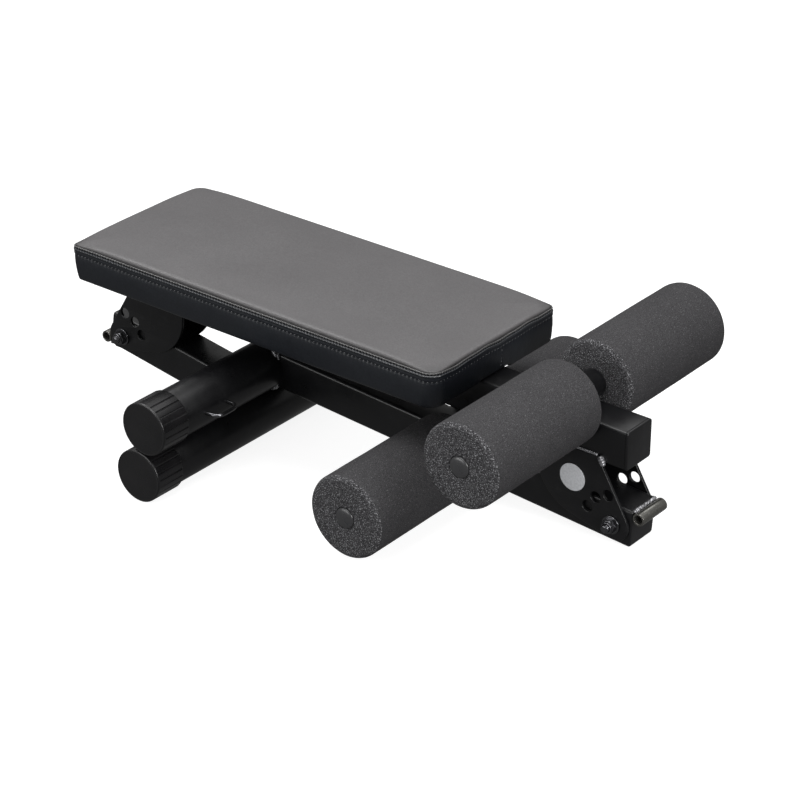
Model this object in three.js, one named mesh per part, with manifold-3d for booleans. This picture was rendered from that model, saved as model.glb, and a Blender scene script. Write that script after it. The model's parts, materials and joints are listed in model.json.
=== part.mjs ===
// Folding decline sit-up bench, folded flat as it lies on the floor.
//
// Units are millimetres and +Z is up. The bench is laid out in its own frame first: X runs along
// the beam from the head end (x = 0) to the roller end, Y runs across, and z = 0 is the seam of
// the pad. The whole assembly is then tipped nose-down until it rests on the rear stabiliser's
// end caps and on the front leg's heel, and moved so that the origin is the middle of its
// footprint. "Near" is the -Y side and "far" is the +Y side.

import * as THREE from 'three';
import { mergeVertices } from 'three/addons/utils/BufferGeometryUtils.js';
import Module from 'manifold-3d';

const wasm = await Module();
wasm.setup();

// ---------------------------------------------------------------- driving dimensions

const GAP = 0.3;                 // clearance kept between pieces that touch
const RAD = Math.PI / 180;

const BEAM = 60;                 // outside of the square beam tube
const BEAM_WALL = 3;
const BEAM_END = 937.7;          // outer face of the roller-end plug
const BEAM_TOP = -51.2;          // top face, below the pad's seam
const TUBE_CORNER = 5;           // outside corner radius of the square tubes
const PLUG_FLANGE = 3.7;
const PLUG_DEPTH = 22;

const LEG = 59;                  // outside of the square leg tubes, 1 mm inside the brackets
const LEG_WALL = 3;
const HEEL = 29;                 // leg end beyond its pivot, end plate included
const HEEL_PLATE = 3;

const PIVOT_Z = -198;
const FRONT_PIVOT_X = 920.5;
const REAR_PIVOT_X = -10;
const FRONT_PITCH = 3.7 * RAD;   // folded leg against the beam
const REAR_PITCH = 8.5 * RAD;
const FRONT_LENGTH = 642;        // pivot to cross tube axis
const REAR_LENGTH = 277.5;
const LOWER_AXLE_AT = 280.5;     // front pivot to lower roller axle

const CROSS_R = 38.1;            // round cross tubes
const CROSS_WALL = 2.5;
const CROSS_HALF = 290;
const CAP_R = 41.3;
const CAP_SKIRT = 50;
const CAP_FACE = 4.5;
const CAP_GROOVES = 24;
const CAP_GROOVE_DEPTH = 0.9;
const CAP_GROOVE_WIDTH = 1.9;    // degrees, each side of a groove's centre

const PLATE = 5;                 // bracket plate thickness
const BRACKET_TOP = 98;          // plate top above the pivot
const BRACKET_ARC = { u: -50, w: 71, r: 80 };
const BRACKET_BOSS_R = 27;
const BRACKET_CURVE = 9;         // straight pieces in each arc of the outline
const BRACKET_FOOT = 22;         // the plate is cut straight this far below its pivot
const BRACKET_SLOPE = 31 * RAD; // outer edge leans this far from the vertical
const LOCK_CIRCLE_R = 44;        // lock holes and lock sleeves sit on this circle
const LOCK_HOLE_R = 8.5;
const LOCK_ANGLES = [100, 130, 160];
const SLEEVE_R = 9.5;
const SLEEVE_BORE_R = 6.5;
const SLEEVE_ANGLE = 28.7 * RAD; // sleeve axis from the leg's axis, seen from the pivot

const BOLT_R = 5.9;              // M12 pivot bolts
const BOLT_HOLE_R = 6.2;
const BUSH_R = 9.5;
const WASHER_R = 14;
const WASHER = 2.5;
const HEX_ACROSS_FLATS = 19;
const NUT = 10.5;
const BOLT_HEAD = 8;
const BOLT_TIP = 6;              // thread that stands out of the nut

const AXLE_R = 12.7;
const AXLE_WALL = 2;
const SADDLE_R = 20.5;           // tube welded on the beam to hold the upper axle
const UPPER_AXLE_X = 836.7;
const LINER_R = 15.7;
const FOAM_R = 63.5;
const FOAM_BORE_R = 16;
const FOAM_EDGE_R = 8.5;
const FOAM_INNER = 34.5;
const FOAM_OUTER = 277;
const COLLAR_R = 20.5;           // spacers between the leg and the lower rollers
const HUB_PLUG_R = 15.5;
const HUB_PLUG_RIM = 2.4;        // straight rim of the plug before its dome
const HUB_PLUG_RISE = 1.6;

const PAD_HEAD = -3;              // head end of the pad, just past the beam's
const PAD_LENGTH = 697;
const PAD_WIDTH = 290;
const PAD_TOP = 9;
const PAD_CORNER = 15;
const PAD_WRAP = 4;              // upholstery that wraps the board's edge
const BOARD = 12;
const BAR = 2.5;                 // flat bars welded across the beam under the pad
const BAR_WIDTH = 40;
const BAR_LENGTH = 230;
const BAR_X = [150, 545];
const PAD_BOLT_Y = 92;
const PAD_BOLT_R = 4;
const PAD_BOLT_HEAD = 6.5;       // half of the head across its flats
const PAD_BOLT_GRIP = 9;         // shank inside the board

const EYE_BAR_R = 3;             // bent-rod band eyelets on the front cross tube
const EYE_SPAN = 46;
const EYE_REACH = 22;
const EYE_Y = 178;
const EYE_BEND = 15;
const EYE_LIFT = 5 * RAD;        // turned up round the cross tube by this much

const BADGE_R = 21;              // blank round badge on the near front bracket
const BADGE = 0.8;

// Worked out from the above.
const BOARD_BOTTOM = BEAM_TOP + GAP + BAR + GAP;
const UPPER_AXLE_Z = BEAM_TOP + GAP + SADDLE_R;
const BRACKET_IN = BEAM / 2 + GAP;
const BRACKET_OUT = BRACKET_IN + PLATE;
const SLEEVE_OUT = LOCK_CIRCLE_R * Math.cos(SLEEVE_ANGLE);
const SLEEVE_SIDE = LOCK_CIRCLE_R * Math.sin(SLEEVE_ANGLE);

// ---------------------------------------------------------------- solids

// A closed geometry of merged vertices whose faces point outwards.
function closed(geometry) {
  geometry.deleteAttribute('normal');
  geometry.deleteAttribute('uv');
  const merged = mergeVertices(geometry, 1e-4);
  const p = merged.attributes.position;
  const index = merged.index.array;
  const a = new THREE.Vector3();
  const b = new THREE.Vector3();
  const c = new THREE.Vector3();
  const kept = [];
  let volume = 0;
  for (let i = 0; i < index.length; i += 3) {
    const [i0, i1, i2] = [index[i], index[i + 1], index[i + 2]];
    if (i0 === i1 || i1 === i2 || i2 === i0) continue;
    kept.push(i0, i1, i2);
    a.fromBufferAttribute(p, i0);
    b.fromBufferAttribute(p, i1);
    c.fromBufferAttribute(p, i2);
    volume += a.dot(b.cross(c));
  }
  if (volume < 0) {
    for (let i = 0; i < kept.length; i += 3) {
      [kept[i + 1], kept[i + 2]] = [kept[i + 2], kept[i + 1]];
    }
  }
  merged.setIndex(kept);
  return merged;
}

function toManifold(geometry) {
  const g = closed(geometry);
  return new wasm.Manifold(new wasm.Mesh({
    numProp: 3,
    vertProperties: new Float32Array(g.attributes.position.array),
    triVerts: new Uint32Array(g.index.array),
  }));
}

function fromManifold(manifold) {
  const mesh = manifold.getMesh();
  const g = new THREE.BufferGeometry();
  g.setAttribute('position', new THREE.BufferAttribute(new Float32Array(mesh.vertProperties), 3));
  g.setIndex(Array.from(mesh.triVerts));
  return g;
}

function cut(geometry, ...tools) {
  return fromManifold(tools.reduce((m, tool) => m.subtract(toManifold(tool)), toManifold(geometry)));
}

function join(geometry, ...others) {
  return fromManifold(others.reduce((m, other) => m.add(toManifold(other)), toManifold(geometry)));
}

// ---------------------------------------------------------------- shapes

// A rounded rectangle centred on the origin, as a Shape or a hole Path.
function roundedRectangle(width, height, radius, Kind = THREE.Shape) {
  const x = width / 2;
  const y = height / 2;
  const outline = new Kind();
  outline.moveTo(x, -y + radius);
  outline.lineTo(x, y - radius);
  outline.absarc(x - radius, y - radius, radius, 0, Math.PI / 2, false);
  outline.lineTo(-x + radius, y);
  outline.absarc(-x + radius, y - radius, radius, Math.PI / 2, Math.PI, false);
  outline.lineTo(-x, -y + radius);
  outline.absarc(-x + radius, -y + radius, radius, Math.PI, 1.5 * Math.PI, false);
  outline.lineTo(x - radius, -y);
  outline.absarc(x - radius, -y + radius, radius, 1.5 * Math.PI, 2 * Math.PI, false);
  return outline;
}

function circlePath(x, y, radius) {
  const path = new THREE.Path();
  path.absarc(x, y, radius, 0, 2 * Math.PI, true);
  return path;
}

// A square tube along X from x0 to x1, centred on the X axis.
function squareTube(side, wall, x0, x1) {
  const section = roundedRectangle(side, side, TUBE_CORNER);
  const inside = side - 2 * wall;
  section.holes.push(roundedRectangle(inside, inside, TUBE_CORNER - wall + 0.5, THREE.Path));
  const g = new THREE.ExtrudeGeometry(section, { depth: x1 - x0, bevelEnabled: false, curveSegments: 4 });
  g.rotateY(Math.PI / 2);
  g.translate(x0, 0, 0);
  return g;
}

// A block along X with rounded long edges.
function roundedBar(width, height, radius, x0, x1) {
  const section = roundedRectangle(width, height, radius);
  const g = new THREE.ExtrudeGeometry(section, { depth: x1 - x0, bevelEnabled: false, curveSegments: 4 });
  g.rotateY(Math.PI / 2);
  g.translate(x0, 0, 0);
  return g;
}

// A solid of revolution about the Y axis; points are [radius, y] pairs.
function turned(points, segments = 24) {
  return new THREE.LatheGeometry(points.map(([r, y]) => new THREE.Vector2(r, y)), segments);
}

function rod(radius, y0, y1, segments = 20) {
  return turned([[0, y0], [radius, y0], [radius, y1], [0, y1]], segments);
}

function ring(outer, inner, y0, y1, segments = 24) {
  return turned([[inner, y0], [outer, y0], [outer, y1], [inner, y1], [inner, y0]], segments);
}

// A hexagonal prism along Y; a bore makes it a nut.
function hexPrism(acrossFlats, y0, y1, boreRadius = 0) {
  const corner = acrossFlats / Math.sqrt(3);
  const hexagon = new THREE.Shape();
  for (let i = 0; i < 6; i += 1) {
    const angle = i * Math.PI / 3;
    const point = [corner * Math.cos(angle), corner * Math.sin(angle)];
    if (i === 0) hexagon.moveTo(...point);
    else hexagon.lineTo(...point);
  }
  if (boreRadius) hexagon.holes.push(circlePath(0, 0, boreRadius));
  const g = new THREE.ExtrudeGeometry(hexagon, { depth: y1 - y0, bevelEnabled: false, curveSegments: 8 });
  g.rotateX(Math.PI / 2);
  g.translate(0, y1, 0);
  return g;
}

// Points of a quarter circle, for the rounded edge of a turned profile.
function quarter(cx, cy, radius, from, steps = 3) {
  return Array.from({ length: steps + 1 }, (_, i) => {
    const angle = from + (i / steps) * Math.PI / 2;
    return [cx + radius * Math.cos(angle), cy + radius * Math.sin(angle)];
  });
}

// ---------------------------------------------------------------- materials

function material(color, roughness, metalness) {
  return () => new THREE.MeshStandardMaterial({ color, roughness, metalness });
}

const blackPaint = material(0x17181a, 0.45, 0.2);
const zincSteel = material(0x8c8f94, 0.35, 0.9);
const blackPlastic = material(0x1d1d1f, 0.5, 0.0);
const foamRubber = material(0x3e3e40, 0.95, 0.0);
const leatherette = material(0x55544f, 0.5, 0.0);
const plywood = material(0x2a2522, 0.9, 0.0);
const badgeGrey = material(0xc9cacc, 0.5, 0.1);

function piece(parent, name, geometry, makeMaterial) {
  const mesh = new THREE.Mesh(closed(geometry), makeMaterial());
  mesh.name = name;
  parent.add(mesh);
  return mesh;
}

const SIDES = [['near', -1], ['far', 1]];

// Mirrors a geometry to the far or near side; side is -1 or 1.
function onSide(geometry, side) {
  return side > 0 ? geometry : geometry.scale(1, -1, 1);
}

// ---------------------------------------------------------------- groups

const group = new THREE.Group();
const bench = new THREE.Group();
const frontLeg = new THREE.Group();
const rearLeg = new THREE.Group();
frontLeg.position.set(FRONT_PIVOT_X, 0, PIVOT_Z);
frontLeg.rotation.y = FRONT_PITCH;
rearLeg.position.set(REAR_PIVOT_X, 0, PIVOT_Z);
rearLeg.rotation.y = REAR_PITCH;
bench.add(frontLeg, rearLeg);
group.add(bench);

// ---------------------------------------------------------------- beam

function addBeam() {
  const axisZ = BEAM_TOP - BEAM / 2;
  const tubeStart = PLUG_FLANGE + GAP;
  const tubeEnd = BEAM_END - PLUG_FLANGE - GAP;
  const tube = squareTube(BEAM, BEAM_WALL, tubeStart, tubeEnd);
  piece(bench, 'beam_tube', tube.translate(0, 0, axisZ), blackPaint);

  const inside = BEAM - 2 * BEAM_WALL - 2 * GAP;
  const plug = (x0, x1, inner0, inner1) => join(
    roundedBar(BEAM, BEAM, TUBE_CORNER, x0, x1),
    roundedBar(inside, inside, TUBE_CORNER - BEAM_WALL + 0.5, inner0, inner1),
  ).translate(0, 0, axisZ);
  const headPlug = plug(0, PLUG_FLANGE, PLUG_FLANGE / 2, PLUG_DEPTH);
  const rollerPlug = plug(BEAM_END - PLUG_FLANGE, BEAM_END, BEAM_END - PLUG_DEPTH, BEAM_END - PLUG_FLANGE / 2);
  piece(bench, 'beam_plug_head_end', headPlug, blackPlastic);
  piece(bench, 'beam_plug_roller_end', rollerPlug, blackPaint);
}

// ---------------------------------------------------------------- leg brackets

// Bracket plate outline, u outwards from the bench's middle and w up, both from the pivot.
// A big arc bounds the inner side, a small arc runs round the pivot, and straight lines
// tangent to both join them to each other and to the sloping outer edge. The foot is cut straight.
function bracketOutline() {
  const { u, w, r } = BRACKET_ARC;
  const apart = Math.hypot(u, w);
  const towardsPivot = Math.atan2(-w, -u);
  const tangent = towardsPivot - Math.acos((r - BRACKET_BOSS_R) / apart);
  const topStart = Math.PI - Math.asin((BRACKET_TOP - w) / r);
  const outline = new THREE.Shape();
  outline.absarc(u, w, r, topStart, tangent + 2 * Math.PI, false);
  outline.absarc(0, 0, BRACKET_BOSS_R, tangent + 2 * Math.PI, BRACKET_SLOPE + 2 * Math.PI, false);
  const edgeU = (BRACKET_BOSS_R - BRACKET_TOP * Math.sin(BRACKET_SLOPE)) / Math.cos(BRACKET_SLOPE);
  outline.lineTo(edgeU, BRACKET_TOP);
  const points = outline.getPoints(BRACKET_CURVE).map((p) => new THREE.Vector2(p.x, Math.max(p.y, -BRACKET_FOOT)));
  const plate = new THREE.Shape(points);
  plate.holes.push(circlePath(0, 0, BOLT_HOLE_R));
  for (const angle of LOCK_ANGLES) {
    const x = LOCK_CIRCLE_R * Math.cos(angle * RAD);
    const y = LOCK_CIRCLE_R * Math.sin(angle * RAD);
    plate.holes.push(circlePath(x, y, LOCK_HOLE_R));
  }
  return plate;
}

// outward is 1 at the roller end and -1 at the head end.
function addBracket(name, pivotX, outward) {
  for (const [sideName, side] of SIDES) {
    const plate = new THREE.ExtrudeGeometry(bracketOutline(), {
      depth: PLATE, bevelEnabled: false, curveSegments: BRACKET_CURVE,
    });
    plate.rotateX(Math.PI / 2);
    plate.scale(outward, 1, 1);
    plate.translate(pivotX, side > 0 ? BRACKET_OUT : -BRACKET_IN, PIVOT_Z);
    piece(bench, `${name}_bracket_${sideName}`, plate, blackPaint);
  }
}

// Pivot bolt with its head on the far side and its nut on the near side.
function addPivotHardware(name, pivotX) {
  const washerIn = BRACKET_OUT + GAP;
  const washerOut = washerIn + WASHER;
  const headIn = washerOut + GAP;
  const nutOut = headIn + NUT;
  const at = (g) => g.translate(pivotX, 0, PIVOT_Z);
  const bolt = join(
    rod(BOLT_R, -(nutOut + BOLT_TIP), headIn + 1),
    hexPrism(HEX_ACROSS_FLATS, headIn, headIn + BOLT_HEAD),
  );
  piece(bench, `${name}_pivot_bolt`, at(bolt), zincSteel);
  piece(bench, `${name}_pivot_nut`, at(hexPrism(HEX_ACROSS_FLATS, -nutOut, -headIn, BOLT_HOLE_R)), zincSteel);
  for (const [sideName, side] of SIDES) {
    const washer = onSide(ring(WASHER_R, BOLT_HOLE_R, washerIn, washerOut), side);
    piece(bench, `${name}_pivot_washer_${sideName}`, at(washer), zincSteel);
  }
}

// A plain round badge with no mark on it.
function addBadge() {
  const face = -(BRACKET_OUT + GAP);
  const badge = rod(BADGE_R, face - BADGE, face, 32);
  piece(bench, 'blank_badge', badge.translate(853, 0, -146), badgeGrey);
}

// ---------------------------------------------------------------- rollers

// Adds one axle with its end plugs, and a foam roller with its plastic liner on each side.
function addRollerPair(parent, name, x, z) {
  const axleEnd = FOAM_OUTER - 2.6;
  const place = (g) => g.translate(x, 0, z);
  piece(parent, `${name}_axle`, place(ring(AXLE_R, AXLE_R - AXLE_WALL, -axleEnd, axleEnd, 24)), blackPaint);
  for (const [sideName, side] of SIDES) {
    const rimIn = axleEnd + GAP;
    const rimOut = rimIn + HUB_PLUG_RIM;
    const stemR = AXLE_R - AXLE_WALL - GAP;
    const plug = turned([
      [0, rimIn - 16], [stemR, rimIn - 16], [stemR, rimIn], [HUB_PLUG_R, rimIn], [HUB_PLUG_R, rimOut],
      [HUB_PLUG_R * 0.86, rimOut + HUB_PLUG_RISE * 0.6], [HUB_PLUG_R * 0.5, rimOut + HUB_PLUG_RISE],
      [0, rimOut + HUB_PLUG_RISE * 1.15],
    ], 24);
    piece(parent, `${name}_hub_plug_${sideName}`, place(onSide(plug, side)), blackPlastic);

    const foam = turned([
      [FOAM_BORE_R, FOAM_INNER],
      ...quarter(FOAM_R - FOAM_EDGE_R, FOAM_INNER + FOAM_EDGE_R, FOAM_EDGE_R, -Math.PI / 2),
      ...quarter(FOAM_R - FOAM_EDGE_R, FOAM_OUTER - FOAM_EDGE_R, FOAM_EDGE_R, 0),
      [FOAM_BORE_R, FOAM_OUTER],
      [FOAM_BORE_R, FOAM_INNER],
    ]);
    piece(parent, `${name}_roller_foam_${sideName}`, place(onSide(foam, side)), foamRubber);

    const liner = ring(LINER_R, AXLE_R + GAP, FOAM_INNER, axleEnd - GAP, 24);
    piece(parent, `${name}_roller_liner_${sideName}`, place(onSide(liner, side)), blackPlastic);
  }
}

function addUpperRollers() {
  const half = FOAM_INNER - GAP;
  const saddle = ring(SADDLE_R, AXLE_R + GAP, -half, half);
  saddle.translate(UPPER_AXLE_X, 0, UPPER_AXLE_Z);
  piece(bench, 'upper_axle_saddle', saddle, blackPaint);
  addRollerPair(bench, 'upper', UPPER_AXLE_X, UPPER_AXLE_Z);
}

// ---------------------------------------------------------------- legs

// A grooved end cap that slides over the end of a cross tube, on the +Y end.
function endCap() {
  const outline = new THREE.Shape();
  const step = 360 / CAP_GROOVES;
  const polar = (radius, degrees) => [radius * Math.cos(degrees * RAD), radius * Math.sin(degrees * RAD)];
  for (let i = 0; i < CAP_GROOVES; i += 1) {
    const centre = i * step;
    const points = [
      polar(CAP_R, centre - step / 2),
      polar(CAP_R, centre - CAP_GROOVE_WIDTH),
      polar(CAP_R - CAP_GROOVE_DEPTH, centre),
      polar(CAP_R, centre + CAP_GROOVE_WIDTH),
    ];
    points.forEach((point, k) => (i + k === 0 ? outline.moveTo(...point) : outline.lineTo(...point)));
  }
  outline.closePath();
  const skirt = new THREE.ExtrudeGeometry(outline, { depth: CAP_SKIRT + CAP_FACE, bevelEnabled: false });
  skirt.rotateX(Math.PI / 2);
  skirt.translate(0, CROSS_HALF + GAP + CAP_FACE, 0);
  const bore = rod(CROSS_R + GAP, CROSS_HALF - CAP_SKIRT - 1, CROSS_HALF + GAP, 36);
  return cut(skirt, bore);
}

// A bent-rod eyelet whose two feet meet the front of the cross tube, in the tube's own frame.
function bandEyelet() {
  const start = CROSS_R - 4;
  const reach = CROSS_R + EYE_REACH;
  const half = EYE_SPAN / 2;
  const path = new THREE.CurvePath();
  const v = (x, y) => new THREE.Vector3(x, y, 0);
  path.add(new THREE.LineCurve3(v(start, -half), v(reach - EYE_BEND, -half)));
  path.add(new THREE.QuadraticBezierCurve3(v(reach - EYE_BEND, -half), v(reach, -half), v(reach, -half + EYE_BEND)));
  path.add(new THREE.LineCurve3(v(reach, -half + EYE_BEND), v(reach, half - EYE_BEND)));
  path.add(new THREE.QuadraticBezierCurve3(v(reach, half - EYE_BEND), v(reach, half), v(reach - EYE_BEND, half)));
  path.add(new THREE.LineCurve3(v(reach - EYE_BEND, half), v(start, half)));
  const section = new THREE.Shape();
  section.absarc(0, 0, EYE_BAR_R, 0, 2 * Math.PI, false);
  const bar = new THREE.ExtrudeGeometry(section, { extrudePath: path, steps: 20, curveSegments: 4 });
  return cut(bar, rod(CROSS_R + GAP, -2 * EYE_SPAN, 2 * EYE_SPAN, 40));
}

// Leg tube, heel plate, lock sleeve, pivot bush and capped cross tube, in the leg's own frame.
// The pivot is the origin. outward is 1 when the heel points along +X and -1 along -X, and
// sleeveSide is 1 with the lock sleeve on the folded leg's upper side and -1 on its lower side.
function addLeg(parent, name, length, outward, sleeveSide, crossHoles) {
  const heelFace = HEEL - HEEL_PLATE - GAP;
  const crossX = -outward * length;
  const footEnd = -outward * (length - CROSS_R * 0.3);
  const span = outward > 0 ? [footEnd, heelFace] : [-heelFace, footEnd];
  const tube = cut(
    squareTube(LEG, LEG_WALL, ...span),
    rod(CROSS_R + GAP, -LEG, LEG, 40).translate(crossX, 0, 0),
    rod(BUSH_R + GAP, -LEG, LEG, 24),
    ...crossHoles.map((x) => rod(AXLE_R + GAP, -LEG, LEG, 24).translate(x, 0, 0)),
  );
  piece(parent, `${name}_leg_tube`, tube, blackPaint);

  const plateX = outward > 0 ? [HEEL - HEEL_PLATE, HEEL] : [-HEEL, -(HEEL - HEEL_PLATE)];
  piece(parent, `${name}_heel_plate`, roundedBar(LEG, LEG, TUBE_CORNER, ...plateX), blackPaint);

  const sleeve = ring(SLEEVE_R, SLEEVE_BORE_R, -LEG / 2, LEG / 2, 24);
  sleeve.translate(outward * SLEEVE_OUT, 0, sleeveSide * SLEEVE_SIDE);
  piece(parent, `${name}_lock_sleeve`, sleeve, blackPaint);

  piece(parent, `${name}_pivot_bush`, ring(BUSH_R, BOLT_HOLE_R, -LEG / 2, LEG / 2, 24), zincSteel);

  const cross = ring(CROSS_R, CROSS_R - CROSS_WALL, -CROSS_HALF, CROSS_HALF, 40);
  piece(parent, `${name}_cross_tube`, cross.translate(crossX, 0, 0), blackPaint);
  for (const [sideName, side] of SIDES) {
    const cap = onSide(endCap(), side).translate(crossX, 0, 0);
    piece(parent, `${name}_end_cap_${sideName}`, cap, blackPlastic);
  }
}

function addFrontLeg() {
  addLeg(frontLeg, 'front', FRONT_LENGTH, 1, 1, [-LOWER_AXLE_AT]);
  for (const [sideName, side] of SIDES) {
    const eyelet = bandEyelet().rotateY(-EYE_LIFT).translate(-FRONT_LENGTH, side * EYE_Y, 0);
    piece(frontLeg, `band_eyelet_${sideName}`, eyelet, zincSteel);
    const collar = ring(COLLAR_R, AXLE_R + GAP, LEG / 2 + GAP, FOAM_INNER - GAP);
    collar.translate(-LOWER_AXLE_AT, 0, 0);
    piece(frontLeg, `lower_collar_${sideName}`, onSide(collar, side), blackPlastic);
  }
  addRollerPair(frontLeg, 'lower', -LOWER_AXLE_AT, 0);
}

function addRearLeg() {
  addLeg(rearLeg, 'rear', REAR_LENGTH, -1, -1, []);
}

// ---------------------------------------------------------------- pad

// A slab with rounded plan corners between two heights, smaller all round by inset.
function slab(inset, z0, z1) {
  const section = roundedRectangle(PAD_LENGTH - 2 * inset, PAD_WIDTH - 2 * inset, PAD_CORNER - inset);
  const g = new THREE.ExtrudeGeometry(section, { depth: z1 - z0, bevelEnabled: false, curveSegments: 5 });
  return g.translate(PAD_HEAD + PAD_LENGTH / 2, 0, z0);
}

const padBoltPlaces = BAR_X.flatMap((x) => [-PAD_BOLT_Y, PAD_BOLT_Y].map((y) => [x, y]));

// An upright rod for the pad bolts and their holes.
function upright(radius, z0, z1, x, y, segments = 16) {
  return rod(radius, z0, z1, segments).rotateX(Math.PI / 2).translate(x, y, 0);
}

function addPad() {
  const boardTop = BOARD_BOTTOM + BOARD;
  const pocket = slab(PAD_WRAP - GAP, BEAM_TOP - 1, boardTop + GAP);
  piece(bench, 'pad_cushion', cut(slab(0, BEAM_TOP + GAP, PAD_TOP), pocket), leatherette);

  const holes = padBoltPlaces.map(([x, y]) => upright(PAD_BOLT_R + GAP, BOARD_BOTTOM - 1, boardTop + 1, x, y));
  piece(bench, 'pad_board', cut(slab(PAD_WRAP, BOARD_BOTTOM, boardTop), ...holes), plywood);
}

function addPadBars() {
  const barBottom = BEAM_TOP + GAP;
  const barTop = barBottom + BAR;
  BAR_X.forEach((x, i) => {
    const bar = new THREE.BoxGeometry(BAR_WIDTH, BAR_LENGTH, BAR).translate(x, 0, (barBottom + barTop) / 2);
    const holes = padBoltPlaces.filter(([bx]) => bx === x)
      .map(([bx, by]) => upright(PAD_BOLT_R + GAP, barBottom - 1, barTop + 1, bx, by));
    piece(bench, `pad_bar_${i + 1}`, cut(bar, ...holes), blackPaint);
  });
  const headTop = barBottom - GAP;
  padBoltPlaces.forEach(([x, y], i) => {
    const head = hexPrism(2 * PAD_BOLT_HEAD, headTop - 5, headTop).rotateX(Math.PI / 2).translate(x, y, 0);
    const shank = upright(PAD_BOLT_R, headTop - 1, BOARD_BOTTOM + PAD_BOLT_GRIP, x, y);
    piece(bench, `pad_bolt_${i + 1}`, join(head, shank), zincSteel);
  });
}

// ---------------------------------------------------------------- assembly

addBeam();
addBracket('front', FRONT_PIVOT_X, 1);
addBracket('rear', REAR_PIVOT_X, -1);
addPivotHardware('front', FRONT_PIVOT_X);
addPivotHardware('rear', REAR_PIVOT_X);
addBadge();
addUpperRollers();
addFrontLeg();
addRearLeg();
addPad();
addPadBars();

// The bench rests on the rear end caps and on the lower edge of the front heel.
function restingTilt() {
  const capX = REAR_PIVOT_X + REAR_LENGTH * Math.cos(REAR_PITCH);
  const capZ = PIVOT_Z - REAR_LENGTH * Math.sin(REAR_PITCH);
  const heelX = FRONT_PIVOT_X + HEEL * Math.cos(FRONT_PITCH) - LEG / 2 * Math.sin(FRONT_PITCH);
  const heelZ = PIVOT_Z - HEEL * Math.sin(FRONT_PITCH) - LEG / 2 * Math.cos(FRONT_PITCH);
  const apart = Math.hypot(heelX - capX, heelZ - capZ);
  return Math.atan2(heelZ - capZ, heelX - capX) + Math.asin(CAP_R / apart);
}

bench.rotation.y = restingTilt();
group.updateMatrixWorld(true);
const box = new THREE.Box3().setFromObject(group, true);
bench.position.set(-(box.min.x + box.max.x) / 2, 0, -box.min.z);
group.updateMatrixWorld(true);

export default group;
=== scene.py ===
"""Looks of the folding decline sit-up bench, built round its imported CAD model.

Shapes are in millimetres in the bench's own frame: X along the beam from the head end, Y across,
z = 0 at the seam of the pad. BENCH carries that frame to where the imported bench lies.
"""
import json
import random
from math import acos, asin, atan2, cos, exp, hypot, pi, sin, sqrt, tan

import bmesh
import bpy
from mathutils import Matrix, Vector, noise


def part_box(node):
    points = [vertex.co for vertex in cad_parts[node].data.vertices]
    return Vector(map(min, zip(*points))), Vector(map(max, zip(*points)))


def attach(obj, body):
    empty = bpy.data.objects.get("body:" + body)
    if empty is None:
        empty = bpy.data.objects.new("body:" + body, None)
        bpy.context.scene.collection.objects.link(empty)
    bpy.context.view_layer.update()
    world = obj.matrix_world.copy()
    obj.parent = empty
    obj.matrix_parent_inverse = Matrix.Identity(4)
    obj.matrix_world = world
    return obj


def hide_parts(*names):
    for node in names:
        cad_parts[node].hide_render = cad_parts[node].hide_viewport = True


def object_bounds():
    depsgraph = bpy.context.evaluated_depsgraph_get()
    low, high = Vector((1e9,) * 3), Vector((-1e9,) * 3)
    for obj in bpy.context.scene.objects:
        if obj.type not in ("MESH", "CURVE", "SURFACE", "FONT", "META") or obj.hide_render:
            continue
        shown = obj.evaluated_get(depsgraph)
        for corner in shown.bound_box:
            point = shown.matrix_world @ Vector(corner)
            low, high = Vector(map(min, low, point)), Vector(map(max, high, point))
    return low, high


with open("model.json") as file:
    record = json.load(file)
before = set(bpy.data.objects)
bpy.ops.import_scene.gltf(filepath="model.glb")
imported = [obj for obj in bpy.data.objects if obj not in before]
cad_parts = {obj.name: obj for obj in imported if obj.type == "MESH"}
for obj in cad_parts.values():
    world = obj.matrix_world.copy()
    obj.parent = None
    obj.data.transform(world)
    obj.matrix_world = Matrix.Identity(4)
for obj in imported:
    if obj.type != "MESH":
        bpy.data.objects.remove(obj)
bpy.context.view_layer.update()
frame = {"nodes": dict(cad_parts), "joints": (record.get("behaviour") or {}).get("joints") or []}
MM = 0.001
RAD = pi / 180

# ---- dimensions, as in the CAD

FRONT_X, REAR_X, PIVOT_Z = 920.5, -10.0, -198.0
FRONT_PITCH, REAR_PITCH = 3.7 * RAD, 8.5 * RAD
BEAM, BEAM_TOP, BEAM_END, PLUG_FLANGE = 60.0, -51.2, 937.7, 3.7
LEG, HEEL, TUBE_CORNER = 59.0, 29.0, 5.0
FRONT_LENGTH, REAR_LENGTH, LOWER_AXLE_AT = 642.0, 277.5, 280.5
CROSS_R, CROSS_HALF = 38.1, 290.0
CAP_R, CAP_SKIRT, CAP_FACE, CAP_GROOVES = 41.3, 50.0, 4.5, 24
GAP = 0.3      # clearance between neighbouring pieces
PLATE, BRACKET_TOP, BOSS_R, SLOPE, PLATE_FOOT = 5.0, 98.0, 27.0, 31.0 * RAD, 22.0
ARC_U, ARC_W, ARC_R = -50.0, 71.0, 80.0
LOCK_R, LOCK_HOLE_R, LOCK_ANGLES = 44.0, 8.5, (100, 130, 160)
SLEEVE_R, SLEEVE_BORE_R, SLEEVE_ANGLE = 9.5, 6.5, 28.7 * RAD
AXLE_R, SADDLE_R, UPPER_X = 12.7, 20.5, 836.7
UPPER_Z = BEAM_TOP + GAP + SADDLE_R
FOAM_R, FOAM_BORE_R, FOAM_INNER, FOAM_OUTER = 63.5, 16.0, 34.5, 277.0
HUB_R = 15.5
PAD_HEAD, PAD_L, PAD_W, PAD_BOTTOM = -3.0, 694.0, 290.0, -48.1
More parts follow.
